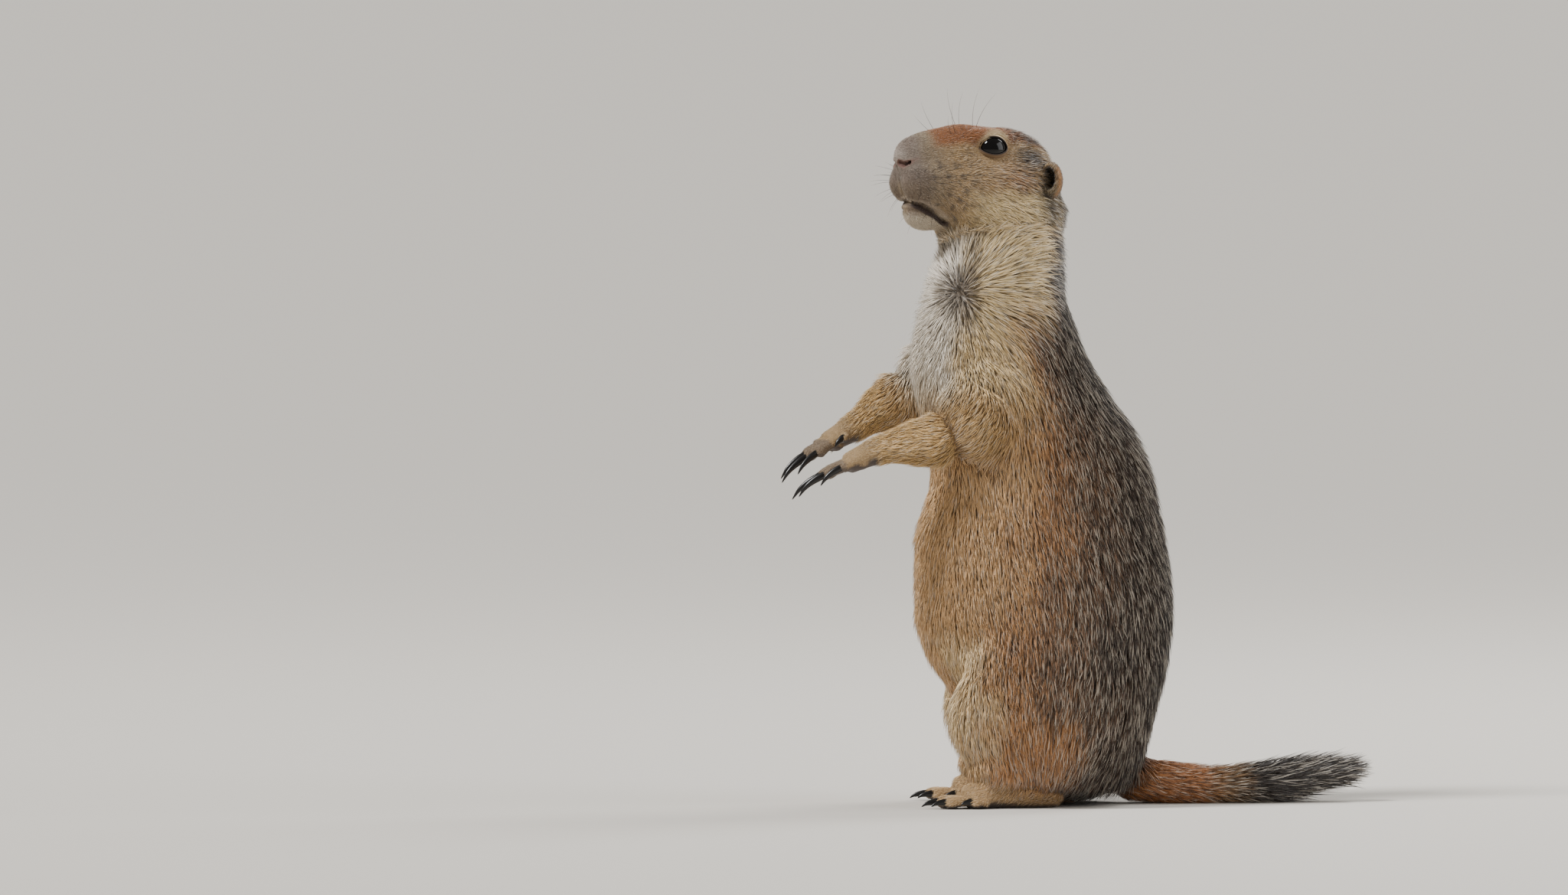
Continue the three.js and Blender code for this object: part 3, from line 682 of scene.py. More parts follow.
# Each digit: name, place across the paw, start ahead of the base, length, and length of its claw, in mm.
FINGERS = [("index", -5.4, -1.0, 9.5, 11.5), ("middle", -1.8, 0.0, 12.0, 14.0),
           ("ring", 1.9, -0.5, 11.0, 13.0), ("little", 5.4, -4.5, 7.5, 10.5), ("thumb", -7.6, -8.5, 3.5, 4.5)]
TOES = [("first", -6.6, -7.0, 7.0, 5.5), ("second", -3.6, -1.0, 11.5, 7.0), ("third", 0.0, 0.0, 13.0, 7.5),
        ("fourth", 3.6, -1.0, 11.5, 7.0), ("fifth", 6.4, -8.0, 7.0, 5.5)]


@dataclass
class Arm:
    """An arm from the shoulder to the claws."""

    side: int
    shoulder: list[float]
    elbow: list[float]
    wrist: list[float]
    knuckles: list[float]
    lift: float

    def __post_init__(self) -> None:
        """Builds the upper arm, the forearm, the digits and the pads."""
        s, e, w, k = (np.array(p, float) for p in (self.shoulder, self.elbow, self.wrist, self.knuckles))
        bend = s + (e - s) * 0.55 + np.array([self.side * 1.5, 0, -1])
        middle = e + (w - e) * 0.45 + np.array([0, 0, 1])
        upper = [[0, 15], [0.5, 15.5], [1, 13]]
        self.upper = Limb([s, bend, e], [[t, v * 0.92] for t, v in upper], upper, (12, 11))
        self.lower = Limb([e, middle, w, k], [[0, 11.5], [0.3, 10.5], [0.62, 7], [0.76, 6.6], [1, 8.2]],
                          [[0, 13.5], [0.3, 11.8], [0.62, 7], [0.76, 6], [1, 4.8]], (10, 3), samples=34)
        flat = unit(np.array([k[0] - w[0], k[1] - w[1], 0]))
        forward = unit(flat + np.array([0, 0, self.lift]))
        across = unit(np.cross([0, 0, 1.0], forward))
        self.paw = Paw(k, forward, across, self.side, 0.25, 3.0, FINGERS, (1.7, 1.3, 0.3))
        self.fingers, self.claws = self.paw.fingers()
        self.pads = [(k + forward * back + across * over * self.side - np.array([0, 0, 2.6]),
                      np.array([3.2, 3.6, 2.6])) for back, over in ((-8, 3.6), (-4.5, -3.4), (0, 0))]


@dataclass
class Leg:
    """A hind leg below the knee, with its foot."""

    side: int
    back: float

    def __post_init__(self) -> None:
        """Builds the shank, the sole and the toes."""
        def at(place: tuple[float, float, float]) -> Array:
            """A place on this side."""
            return np.array([place[0] * self.side, place[1] + self.back, place[2]])

        knee, ankle, heel, instep, ball = (at(p) for p in (
            (32, -34, 30), (33, -24, 8), (31, 0, 5.2), (33, -28, 7.4), (35, -46, 4.4)))
        shank = [[0, 13.5], [0.6, 12], [1, 9]]
        self.shank = Limb([knee, (knee + ankle) / 2, ankle], shank, [[t, v * 1.15] for t, v in shank],
                          (12, 8), up=(0, 1, 0))
        self.sole = Limb([heel, instep, ball], [[0, 5.5], [0.5, 7.2], [1, 8.8]],
                         [[0, 6.6], [0.45, 8.6], [1, 5.8]], (5, 4))
        forward = unit((ball - heel) * np.array([1, 1, 0]))
        across = unit(np.cross([0, 0, 1.0], forward))
        self.paw = Paw(np.array([ball[0], ball[1], 3.2]), forward, across, self.side, 0.16, 2.9, TOES,
                       (1.6, 1.2, 0.22))
        self.fingers, self.claws = self.paw.fingers()


TAIL_PATH = [[0, 30, 17], [2, 50, 10], [4, 72, 7.8], [5, 98, 9], [5, 120, 12], [4, 141, 14.5]]
TAIL_TIP_SHARE = 0.52  # where the dark brush starts
TAIL_FLESH = [[0, 9.5], [0.2, 6.5], [0.5, 4.8], [0.75, 3.2], [0.88, 1.6], [1, 0.6]]

TRUNK = Trunk()
HEAD = Head()
ARMS = {
    "left": Arm(LEFT, [32, -30, 184], [37, -50, 168], [34, -84, 163.5], [33, -101, 156.5], -0.42),
    "right": Arm(RIGHT, [-22, -40, 196], [-24, -60, 187], [-14, -89, 171.5], [-11, -102, 164.5], -0.5),
}
LEGS = {"left": Leg(LEFT, 0.0), "right": Leg(RIGHT, 8.0)}
TAIL = Limb(TAIL_PATH, TAIL_FLESH, TAIL_FLESH, (5, 3), samples=40)


def model_shift() -> Array:
    """How far the animal's frame lies from the solids' frame, from the place of the left eye, in mm.

    Returns:
        The shift, level with the floor.
    """
    low, high = (np.array(corner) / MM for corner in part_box("eye_left"))
    anatomical = HEAD.to_body(HEAD.eye_centre(LEFT)[None])[0]
    shift = (low + high) / 2 - anatomical
    shift[2] = 0.0
    return shift


SHIFT = model_shift()


# The body as one field of distances


@dataclass
class Body:
    """All of the flesh as one field, blended where parts join."""

    part_blends: dict = field(default_factory=lambda: {
        Region.HEAD.value: 10.0, Region.ARM_LEFT.value: 13.0, Region.ARM_RIGHT.value: 13.0})
    digit_blend: float = 1.2

    def nearest(self, points: Array) -> Array:
        """How far each point lies outside each region.

        Args:
            points: N by 3 array in mm.

        Returns:
            N by 7 array, one column for each Region.
        """
        result = np.full((len(points), len(Region)), 200.0)
        result[:, Region.TRUNK.value] = TRUNK.distance(points)
        near_head = points[:, 2] > 225
        if near_head.any():
            result[near_head, Region.HEAD.value] = HEAD.distance_local(HEAD.to_head(points[near_head]))
        for region, arm in ((Region.ARM_LEFT, ARMS["left"]), (Region.ARM_RIGHT, ARMS["right"])):
            near = (points[:, 1] < -10) & (np.abs(points[:, 2] - 170) < 60) & (points[:, 0] * arm.side > -20)
            result[near, region.value] = self.arm(points[near], arm)
        for region, leg in ((Region.LEG_LEFT, LEGS["left"]), (Region.LEG_RIGHT, LEGS["right"])):
            near = (points[:, 2] < 50) & (points[:, 0] * leg.side > 0)
            result[near, region.value] = self.leg(points[near], leg)
        near = (points[:, 2] < 45) & (points[:, 1] > 10)
        result[near, Region.TAIL.value] = TAIL.distance(points[near]) - 1.0
        return result

    def digits(self, points: Array, result: Array, fingers: list[Limb]) -> Array:
        """The distance with the fingers joined to it.

        Args:
            points: Places in the animal's frame, in mm.
            result: The distance without the fingers.
            fingers: The fingers or toes to join.

        Returns:
            One distance in mm for each point, below 0 inside.
        """
        for finger in fingers:
            result = blended(result, finger.distance(points), self.digit_blend)
        return result

    def arm(self, points: Array, arm: Arm) -> Array:
        """How far each point lies outside an arm.

        Args:
            points: Places in the animal's frame, in mm.
            arm: The arm.

        Returns:
            One distance in mm for each point, below 0 inside.
        """
        result = blended(arm.upper.distance(points), arm.lower.distance(points), 8.0)
        result = self.digits(points, result, arm.fingers)
        for centre, radii in arm.pads:
            result = blended(result, ellipsoid_distance(points, centre, radii), self.digit_blend)
        return result

    def leg(self, points: Array, leg: Leg) -> Array:
        """How far each point lies outside a hind leg."""
        result = blended(leg.shank.distance(points), leg.sole.distance(points), 5.0)
        return self.digits(points, result, leg.fingers)

    def distance(self, points: Array) -> Array:
        """About how far each point lies outside the body, with joins rounded over.

        Args:
            points: Places in the animal's frame, in mm.

        Returns:
            One distance in mm for each point, below 0 inside.
        """
        parts = self.nearest(points)
        result = parts[:, 0]
        for column in range(1, parts.shape[1]):
            width = self.part_blends.get(column, 7.0)
            result = blended(result, parts[:, column], width)
        return result

    def slope(self, points: Array, step: float = 0.25) -> tuple[Array, Array]:
        """The distance at each point and the direction and rate in which it grows.

        Args:
            points: Places in the animal's frame, in mm.
            step: How far apart the field is read, in mm.

        Returns:
            The distances, and N by 3 array of rates.
        """
        here = self.distance(points)
        rates = [(self.distance(points + step * np.eye(3)[k]) - here) / step for k in range(3)]
        return here, np.stack(rates, axis=-1)


BODY = Body()


# How deep the coat is, which way it lies and what colours it has


@dataclass
class Places:
    """Points on the body with what the coat needs to know about each of them."""

    points: Array
    normals: Array

    def __post_init__(self) -> None:
        """Works out the share of each region at every point, and places in the regions' own frames."""
        near = BODY.nearest(self.points)
        near[:, Region.TRUNK.value] += ramp(self.points[:, 2], 262, 276) * 30
        weight = np.exp(-(near - near.min(axis=1, keepdims=True)) / 3.5)
        self.share = weight / weight.sum(axis=1, keepdims=True)
        self.head = HEAD.to_head(self.points)
        self.turn = TRUNK.around(self.points)
        self.height = self.points[:, 2]

    def of(self, *regions: Region) -> Array:
        """The share of these regions at each point."""
        return self.share[:, [r.value for r in regions]].sum(axis=1)

    def side(self) -> Array:
        """How far around the body from the midline of the front: 0 in front, 0.5 at the spine."""
        return np.abs(self.turn)

    def hand(self) -> Array:
        """How far along the forearm to the paw: 0 at the elbow, 1 at the knuckles and beyond.

        Returns:
            One value for each place.
        """
        result = np.zeros(len(self.points))
        for region, arm in ((Region.ARM_LEFT, ARMS["left"]), (Region.ARM_RIGHT, ARMS["right"])):
            mine = self.share[:, region.value] > 0.05
            result[mine] = arm.lower.local(self.points[mine])[0]
        return result * self.of(Region.ARM_LEFT, Region.ARM_RIGHT)

    def foot(self) -> Array:
        """1 on the feet, falling to 0 on the shanks above them."""
        return self.of(Region.LEG_LEFT, Region.LEG_RIGHT) * ramp(self.height, 20, 10)

    def tail(self) -> Array:
        """How far along the tail, from 0 at its root to 1 at the tip.

        Returns:
            One value for each place.
        """
        result = np.zeros(len(self.points))
        mine = self.share[:, Region.TAIL.value] > 0.05
        result[mine] = TAIL.local(self.points[mine])[0]
        return result


def segment_distance(points: Array, path: Array) -> Array:
    """The distance from each point to a line of straight pieces, in mm.

    Args:
        points: Places in mm.
        path: The corners of the line.

    Returns:
        One distance for each point.
    """
    best = np.full(len(points), 1e3)
    for a, b in zip(path[:-1], path[1:]):
        way = b - a
        t = np.clip(dot(points - a, way) / (way @ way), 0, 1)[:, None]
        best = np.minimum(best, np.linalg.norm(points - a - t * way, axis=1))
    return best


@dataclass
class Face:
    """The lines of the face, in the head's frame: mouth, cleft of the lip, nostrils and eyes."""

    mouth: list = field(default_factory=lambda: [[9, -17.4], [13, -19.4], [17, -21.6], [21, -25]])
    mouth_front_up: float = -16.4
    nostril: list = field(default_factory=lambda: [[2.4, 1.6, 1.6], [4.4, 2.6, 0.8], [6.2, 4.8, 1.6],
                                                   [7.0, 7.8, 3.0]])

    def __post_init__(self) -> None:
        """Places the lines on the surface of the head."""
        back = np.array([m[0] for m in self.mouth], float)
        up = np.array([m[1] for m in self.mouth], float)
        left = np.stack([HEAD.side_at(back, up), back, up], axis=-1)
        front = HEAD.reach(np.array([[0, 12.0, self.mouth_front_up]]), np.array([[0, -1.0, 0]]))
        beside = np.array([[2.0, 12.0, self.mouth_front_up - 0.3]])
        quarter = HEAD.reach(beside, unit(np.array([[0.6, -1.0, 0]])))
        half = np.concatenate([front, quarter, left])
        self.mouth_path = np.concatenate([half[::-1], half[1:] * np.array([-1, 1, 1])])
        start = np.tile([0, 9.0, 0.0], (4, 1)) + np.array([[0, 0, 0], [0, 0, -5], [0, 0, -10], [0, 0, -15.0]])
        self.cleft_path = HEAD.reach(start, np.tile([0, -1.0, 0], (4, 1)))
        self.nostril_paths = [np.array(self.nostril) * np.array([side, 1, 1]) for side in (LEFT, RIGHT)]
        self.eyes = [HEAD.eye_centre(side) for side in (LEFT, RIGHT)]

    def to_mouth(self, local: Array) -> Array:
        """The distance to the line of the mouth."""
        return segment_distance(local, self.mouth_path)

    def to_cleft(self, local: Array) -> Array:
        """The distance to the cleft of the upper lip."""
        return segment_distance(local, self.cleft_path)

    def to_nostril(self, local: Array) -> Array:
        """The distance to the nearer nostril."""
        return np.minimum(*(segment_distance(local, path) for path in self.nostril_paths))

    def to_eye(self, local: Array) -> Array:
        """The distance to the centre of the nearer eye."""
        return np.minimum(*(np.linalg.norm(local - eye, axis=1) for eye in self.eyes))

    def carved(self, local: Array) -> Array:
        """How much the flesh is set in (above 0) or swells (below 0) along the lines of the face.

        Args:
            local: Places in the head's frame, in mm.

        Returns:
            One depth in mm for each place.
        """
        mouth, cleft, nostril = self.to_mouth(local), self.to_cleft(local), self.to_nostril(local)
        below = ramp(local[:, 2] + 17 + np.maximum(local[:, 1] - 8, 0) * 0.5, 1.0, -1.0)
        lips = np.exp(-((mouth - 2.0) / 1.0) ** 2) * (0.35 + 0.35 * below)
        rim = np.exp(-((nostril - 1.7) / 0.7) ** 2) * 0.35
        return (1.5 * np.exp(-(mouth / 0.75) ** 2) + 0.8 * np.exp(-(cleft / 0.6) ** 2)
                + 2.2 * np.exp(-(nostril / 0.85) ** 2) - lips - rim)


FACE = Face()


@dataclass
class Lie:
    """The length, slant, depth and direction of the hair."""

    whorl: tuple = (22.0, -46.0, 235.0)

    def depth(self, at: Places) -> Array:
        """How deep the coat lies over the skin, in mm.

        Args:
            at: Places on the body.

        Returns:
            One depth for each place.
        """
        back = ramp(at.head[:, 1], 2, 62)
        depth = at.of(Region.TRUNK) * (3.4 + 0.8 * ramp(at.height, 190, 225))
        depth = depth + at.of(Region.HEAD) * (0.35 + 1.9 * back)
        depth = depth + at.of(Region.ARM_LEFT, Region.ARM_RIGHT) * (1.8 - 1.5 * ramp(at.hand(), 0.45, 0.75))
        depth = depth + at.of(Region.LEG_LEFT, Region.LEG_RIGHT) * (2.2 - 1.9 * ramp(at.height, 22, 9))
        return depth

    def length(self, at: Places) -> Array:
        """The length of the hair, in mm.

        Args:
            at: Places on the body.

        Returns:
            One length for each place.
        """
        eye = FACE.to_eye(at.head)
        head = 1.5 + 5.0 * ramp(at.head[:, 1], 12, 60)
        head = head * (0.35 + 0.65 * ramp(eye, 8, 15))
        head = head * (0.3 + 0.7 * ramp(np.minimum(FACE.to_mouth(at.head), FACE.to_nostril(at.head)), 0.8, 4))
        trunk = 10 + 1.8 * ramp(at.side(), 0.15, 0.35)
        arm = 6.0 - 4.8 * ramp(at.hand(), 0.5, 0.85)
        leg = 8.0 - 6.0 * ramp(at.height, 24, 9)
        tail = 9 + 9 * ramp(at.tail(), 0.35, 0.65) - 6 * ramp(at.tail(), 0.85, 1)
        return (at.of(Region.TRUNK) * trunk + at.of(Region.HEAD) * head
                + at.of(Region.ARM_LEFT, Region.ARM_RIGHT) * arm
                + at.of(Region.LEG_LEFT, Region.LEG_RIGHT) * leg + at.of(Region.TAIL) * tail)

    def from_whorl(self, at: Places) -> Array:
        """The distance from the whorl at the throat, in mm."""
        return np.linalg.norm(at.points - np.array(self.whorl), axis=1)

    def slant(self, at: Places) -> Array:
        """The angle between hair and skin at the root, in radians.

        Args:
            at: Places on the body.

        Returns:
            One angle for each place.
        """
        body = np.radians(20)
        angle = body + at.of(Region.TAIL) * np.radians(8)
        angle = angle + np.radians(42) * ramp(self.from_whorl(at), 9, 1)
        return angle - at.of(Region.HEAD) * np.radians(2)

    def direction(self, at: Places) -> Array:
        """Which way the hair lies: the flow of each region, blended, and laid along the skin.

        On the trunk it runs down and a little forward on the flanks, at the throat it spreads from the
        whorl, on the head it runs back from the nose, on limbs and tail toward the end of the limb.

        Args:
            at: Places on the body.

        Returns:
            One unit direction for each place.
        """
        p, n = at.points, at.normals
        side = np.sign(at.turn) * ramp(np.abs(at.turn), 0.0, 0.1)
        down = np.stack([side * 0.16, 0.10 + 0 * side, -1 + 0 * side], axis=-1)
        down[:, 1] -= 0.3 * ramp(at.side(), 0.12, 0.3) * ramp(at.side(), 0.42, 0.3) * ramp(at.height, 110, 60)
        away = p - np.array(self.whorl)
        reach = self.from_whorl(at)
        near = ramp(reach, 60, 18)[:, None]
        neck = (ramp(at.height, 218, 244) * ramp(at.side(), 0.08, 0.2))[:, None]
        swept = unit(down) * (1 - neck) + np.array([0.1, 0.85, -0.5]) * neck
        trunk = unit(unit(swept) * (1 - near) + unit(away) * near)
        out = np.sign(at.head[:, 0])[:, None] * np.array([1.0, 0, 0])
        cheek = ramp(at.head[:, 2], 2, -16)[:, None]
        head = turned(np.array([0, 1.0, -0.04]) + out * 0.12 + cheek * np.array([0, 0, -0.5]), HEAD.turn)
        flow = at.of(Region.TRUNK)[:, None] * trunk + at.of(Region.HEAD)[:, None] * unit(head)
        for region, limbs in ((Region.ARM_LEFT, (ARMS["left"].upper, ARMS["left"].lower)),
                              (Region.ARM_RIGHT, (ARMS["right"].upper, ARMS["right"].lower)),
                              (Region.LEG_LEFT, (LEGS["left"].shank, LEGS["left"].sole)),
                              (Region.LEG_RIGHT, (LEGS["right"].shank, LEGS["right"].sole)),
                              (Region.TAIL, (TAIL,))):
            mine = at.share[:, region.value] > 0.03
            part = np.zeros_like(p)
            for limb in limbs:
                share, past, side_way, over = limb.local(p[mine])
                weight = np.exp(-(past + np.hypot(side_way, over)) / 6)[:, None]
                index = np.round(share * (limb.samples - 1)).astype(int)
                part[mine] += weight * limb.forward[index]
            flow += at.share[:, region.value][:, None] * unit(part)
        flow = flow - n * dot(flow, n)[:, None]
        return unit(flow)


@dataclass
class Paint:
    """Colours of the coat at many points, laid on in layers, each softly over the last."""

    count: int

    def __post_init__(self) -> None:
        """Starts with a plain brown."""
        self.root = np.tile(to_linear("#3a2c22"), (self.count, 1))
        self.shaft = np.tile(to_linear("#8a6444"), (self.count, 1))
        self.dark = np.full(self.count, 0.3)
        self.pale = np.full(self.count, 0.25)

    def lay(self, cover: Array, root: str, shaft: str, dark: float, pale: float) -> None:
        """Lays one pair of colours over what is there.

        Args:
            cover: How much of the new colours shows at each point, 0 to 1.
            root: Colour of the underfur.
            shaft: Colour of the hair.
            dark: The share of hairs with a blackish tip.
            pale: The share of hairs with a whitish tip.
        """
        c = np.clip(cover, 0, 1)
        self.root += (to_linear(root) - self.root) * c[:, None]
        self.shaft += (to_linear(shaft) - self.shaft) * c[:, None]
        self.dark += (dark - self.dark) * c
        self.pale += (pale - self.pale) * c


@dataclass(frozen=True)
class Markings:
    """The animal's pattern with painted shade: grizzled brown back, darkened toward the spine by painted
    shade, rusty crown, thighs and tail, pale throat and belly, and painted shade on the throat's crease and
    the rear of the head.
    """

    black: str = "#17120f"
    white: str = "#e9dfcf"

    def paint(self, at: Places) -> Paint:
        """The colours of skin and coat at each place.

        Args:
            at: Places on the body.

        Returns:
            The painted colours.
        """
        paint = Paint(len(at.points))
        blot = (hashed(at.points, 16, 1.0) - 0.5) * 0.05
        fine = (hashed(at.points, 5, 4.0) - 0.5) * 0.03
        side = at.side() + blot + fine
        z = at.height
        trunk = at.of(Region.TRUNK)
        chest = ramp(z, 168, 200)
        neck = ramp(z, 214, 240)
        edge = 0.01 * chest + 0.03 * neck
        paint.lay(trunk, "#8b6746", "#cfa878", 0.03, 0.15)
        paint.lay(trunk * ramp(side, 0.10 + edge, 0.20 + edge), "#5a3f28", "#a8784a", 0.2, 0.26)
        paint.lay(trunk * ramp(side, 0.165 + edge, 0.26 + edge), "#392a20", "#75563c", 0.42, 0.36)
        # Darker toward the spine: the grizzled brown of the back, with painted shade of the back and the side
        # turned from the key light.
        paint.lay(trunk * ramp(side, 0.25 + edge, 0.34 + edge), "#291f19", "#4c3a2d", 0.54, 0.38)
        paint.lay(trunk * ramp(side, 0.35 - neck * 0.07, 0.45 - neck * 0.1), "#1d1714", "#382d27", 0.62, 0.3)
        paint.lay(trunk * chest * ramp(side, 0.245, 0.13), "#8a7252", "#d6bb8a", 0.08, 0.3)
        paint.lay(trunk * neck * ramp(side, 0.335, 0.27), "#8a7253", "#dac292", 0.1, 0.3)
        white = ramp(at.turn + blot, 0.11, 0.045) * ramp(z, 178, 204) * ramp(side, 0.26, 0.2)
        paint.lay(trunk * white, "#948878", "#e3d9c9", 0.0, 0.5)
        # Painted shade along the crease of the throat: a narrow darker line from the chin down the neck.
        throat_crease_shade = np.exp(-((at.turn - 0.085) / 0.016) ** 2) * ramp(z, 216, 228) * ramp(z, 270, 258)
        paint.lay(trunk * throat_crease_shade * 0.7, "#4c4037", "#8d7f6f", 0.35, 0.2)
        centre = LIE.from_whorl(at) + blot * 30
        paint.lay(trunk * ramp(centre, 9, 3) * 0.75, "#4c4037", "#7d6f60", 0.4, 0.2)
        thigh = ramp(z, 70, 26) * ramp(side, 0.3, 0.17)
        paint.lay(trunk * thigh, "#6a4325", "#b78049", 0.14, 0.18)
        shin = ramp(z, 92, 70) * ramp(side, 0.17, 0.10) * ramp(np.abs(at.points[:, 0]), 12, 20)
        paint.lay(trunk * shin, "#9b7c55", "#e2c799", 0.0, 0.35)
        leg = at.of(Region.LEG_LEFT, Region.LEG_RIGHT)
        paint.lay(leg, "#7a4a28", "#c08650", 0.06, 0.15)
        paint.lay(leg * ramp(at.normals[:, 1], -0.2, -0.8), "#94744c", "#ddc191", 0.0, 0.3)
        paint.lay(at.foot(), "#8a6b4a", "#cfae80", 0.04, 0.2)
        paint.lay(at.foot() * ramp(at.normals[:, 2], -0.3, -0.7), "#4a413c", "#5c524c", 0.0, 0.0)
        arm = at.of(Region.ARM_LEFT, Region.ARM_RIGHT)
        hand = at.hand()
        paint.lay(arm, "#8a6a42", "#cfab73", 0.05, 0.2)
        paint.lay(arm * ramp(hand, 0.55, 0.8), "#86694a", "#c2a57a", 0.08, 0.2)
        under = ramp(at.normals[:, 2], -0.1, -0.55)
        paint.lay(arm * ramp(hand, 0.66, 0.72) * under, "#453d3a", "#5a504b", 0.0, 0.0)
        paint.lay(arm * ramp(hand, 0.985, 1.0) * 0.75, "#5c5046", "#75675a", 0.05, 0.05)
        self.tail(at, paint)
        self.head(at, paint)
        return paint

    def tail(self, at: Places, paint: Paint) -> None:
        """The tail: rusty at its root, grizzled in its middle, blackish in its last half.

        Args:
            at: Places on the body.
            paint: The colours so far, painted over here.
        """
        tail = at.of(Region.TAIL)
        share = at.tail() + (hashed(at.points, 6, 2.0) - 0.5) * 0.06
        paint.lay(tail, "#6a3f22", "#ad713f", 0.2, 0.14)
        paint.lay(tail * ramp(share, 0.30, 0.45), "#4a3524", "#94714a", 0.35, 0.3)
        paint.lay(tail * ramp(share, 0.42, 0.56), "#1c1613", "#3a2f28", 0.62, 0.26)

    def head(self, at: Places, paint: Paint) -> None:
        """The head: rusty crown, buff cheeks, grey muzzle, painted shade at the rear of the eye, under the
        ear and over the back of the crown and head, a painted highlight on top of the nose and painted shade
        in the nostrils.

        Args:
            at: Places on the body.
            paint: The colours so far, painted over here.
        """
        head = at.of(Region.HEAD)
        x, y, z = np.abs(at.head[:, 0]), at.head[:, 1], at.head[:, 2]
        fleck = hashed(at.points, 2.4, 7.0)
        soft = (hashed(at.points, 7.0, 3.0) - 0.5) * 6
        z = z + soft * 0.4
        eye = FACE.to_eye(at.head)
        paint.lay(head, "#54442f", "#bd9d70", 0.3, 0.27)
        band = ramp(z, -8, -14) * ramp(z, -34, -24)
        paint.lay(head * band * ramp(y, 22, 34), "#8d7754", "#dcc390", 0.05, 0.3)
        paint.lay(head * ramp(y, 26, 12) * 0.85, "#51463b", "#a08e76", 0.33, 0.3)
        crown = ramp(z - x * 0.3, 3, 9) * ramp(y, 13, 19)
        paint.lay(head * crown, "#4f321f", "#a3693c", 0.32, 0.12)
        # Painted shade on the back of the crown, the side turned from the key light.
        paint.lay(head * crown * ramp(y, 44, 62), "#2b201a", "#5b4231", 0.5, 0.25)
        rust = np.exp(-(((y - 50) / 9) ** 2 + ((z + 5) / 5.5) ** 2))
        paint.lay(head * rust * 0.7 * ramp(x, 12, 18), "#55382a", "#9c6f49", 0.35, 0.15)
        # Painted shade at the rear of the eye.
        painted_shade_rear_of_eye = np.exp(-(((y - 58) / 7.5) ** 2 + ((z - 3) / 5.0) ** 2))
        paint.lay(head * painted_shade_rear_of_eye * ramp(x, 10, 16), "#211a17", "#42352c", 0.6, 0.1)
        # Painted shade under the ear.
        painted_shade_under_ear = np.exp(-(((y - 66) / 6.5) ** 2 + ((z + 18) / 9) ** 2))
        paint.lay(head * painted_shade_under_ear * 0.9, "#1d1816", "#3f362f", 0.6, 0.2)
        # Painted shade over the back of the head.
        paint.lay(head * ramp(y, 66, 78), "#211a17", "#46382e", 0.58, 0.28)
        rows = ramp(fleck, 0.6, 0.72) * ramp(y, 8, 14) * ramp(y, 36, 26) * ramp(x, 5, 8) * ramp(z, 6, 0)
        paint.lay(head * rows * 0.7, "#3c332c", "#5d5145", 0.5, 0.0)
        over_eye = ramp(eye, 10.2, 8.2) * ramp(at.head[:, 2], 9, 13)
        paint.lay(head * over_eye * 0.8, "#8d7858", "#d8c49c", 0.05, 0.2)
        nose = ramp(y, 13, 6) * ramp(at.head[:, 2], -11, -4)
        paint.lay(head * nose, "#5c5049", "#938578", 0.16, 0.25)
        # Painted highlight: paler on top of the tip of the nose.
        paint.lay(head * ramp(y, 4.5, 1.5) * ramp(at.head[:, 2], 2, 7), "#80746b", "#bdb2a8", 0.0, 0.3)
        lip = ramp(y, 15, 10) * ramp(at.head[:, 2], 0, -3) * ramp(x, 1.5, 3.0)
        paint.lay(head * lip * 0.6, "#443831", "#786759", 0.3, 0.2)
        bridge = nose * ramp(x, 7.2, 4.0) * ramp(at.head[:, 2], 3, 9)
        paint.lay(head * bridge * 0.6, "#5d5049", "#8a786b", 0.1, 0.1)
        chin = ramp(y, 26, 18) * ramp(at.head[:, 2], -20, -24)
        paint.lay(head * chin, "#7f7264", "#cfc1ab", 0.1, 0.4)
        mouth, nostril = FACE.to_mouth(at.head), FACE.to_nostril(at.head)
        upper = ramp(mouth, 3.4, 2.2) * ramp(at.head[:, 2] + np.maximum(y - 8, 0) * 0.55, -17, -15)
        paint.lay(head * upper * 0.6, "#7c6d60", "#b0a08e", 0.1, 0.3)
        below = ramp(at.head[:, 2] + 17.2 + np.maximum(y - 9, 0) * 0.6, 0.6, -0.6)
        lip_height = 1.3 + 1.7 * ramp(x, 2.5, 8)
        paint.lay(head * ramp(mouth - lip_height, 0.5, -0.5) * below, "#261a15", "#40302a", 0.1, 0.0)
        paint.lay(head * ramp(mouth, 1.0, 0.4), "#150c0a", "#1d110e", 0.0, 0.0)
        cleft = ramp(FACE.to_cleft(at.head), 0.8, 0.3) * ramp(y, 9, 6)
        paint.lay(head * cleft, "#3d302b", "#594841", 0.0, 0.0)
        paint.lay(head * ramp(nostril, 2.4, 1.2), "#6a4c43", "#7d5d52", 0.0, 0.0)
        # Painted shade: near black in the openings of the nostrils.
        paint.lay(head * ramp(nostril, 1.25, 0.6), "#1a0e0c", "#22120f", 0.0, 0.0)


LIE = Lie()
MARKINGS = Markings()


# Finishes


def node(tree: bpy.types.NodeTree, kind: str, **values: object) -> bpy.types.Node:
    """Adds a shader node and sets its properties and sockets.

    Args:
        tree: The material's node tree.
        kind: The node's type.
        values: Properties by name, or sockets by name with underscores for spaces.

    Returns:
        The new node.
    """
    made = tree.nodes.new(kind)
    for name, value in values.items():
        if hasattr(made, name):
            setattr(made, name, value)
        else:
            made.inputs[name.replace("_", " ")].default_value = value
    return made


def plain_material(name: str) -> tuple[bpy.types.Material, bpy.types.Node]:
    """A new material and its surface shader.

    Args:
        name: The material's name.

    Returns:
        The material and the shader node.
    """
    material = bpy.data.materials.new(name)
    material.use_nodes = True
    return material, material.node_tree.nodes["Principled BSDF"]


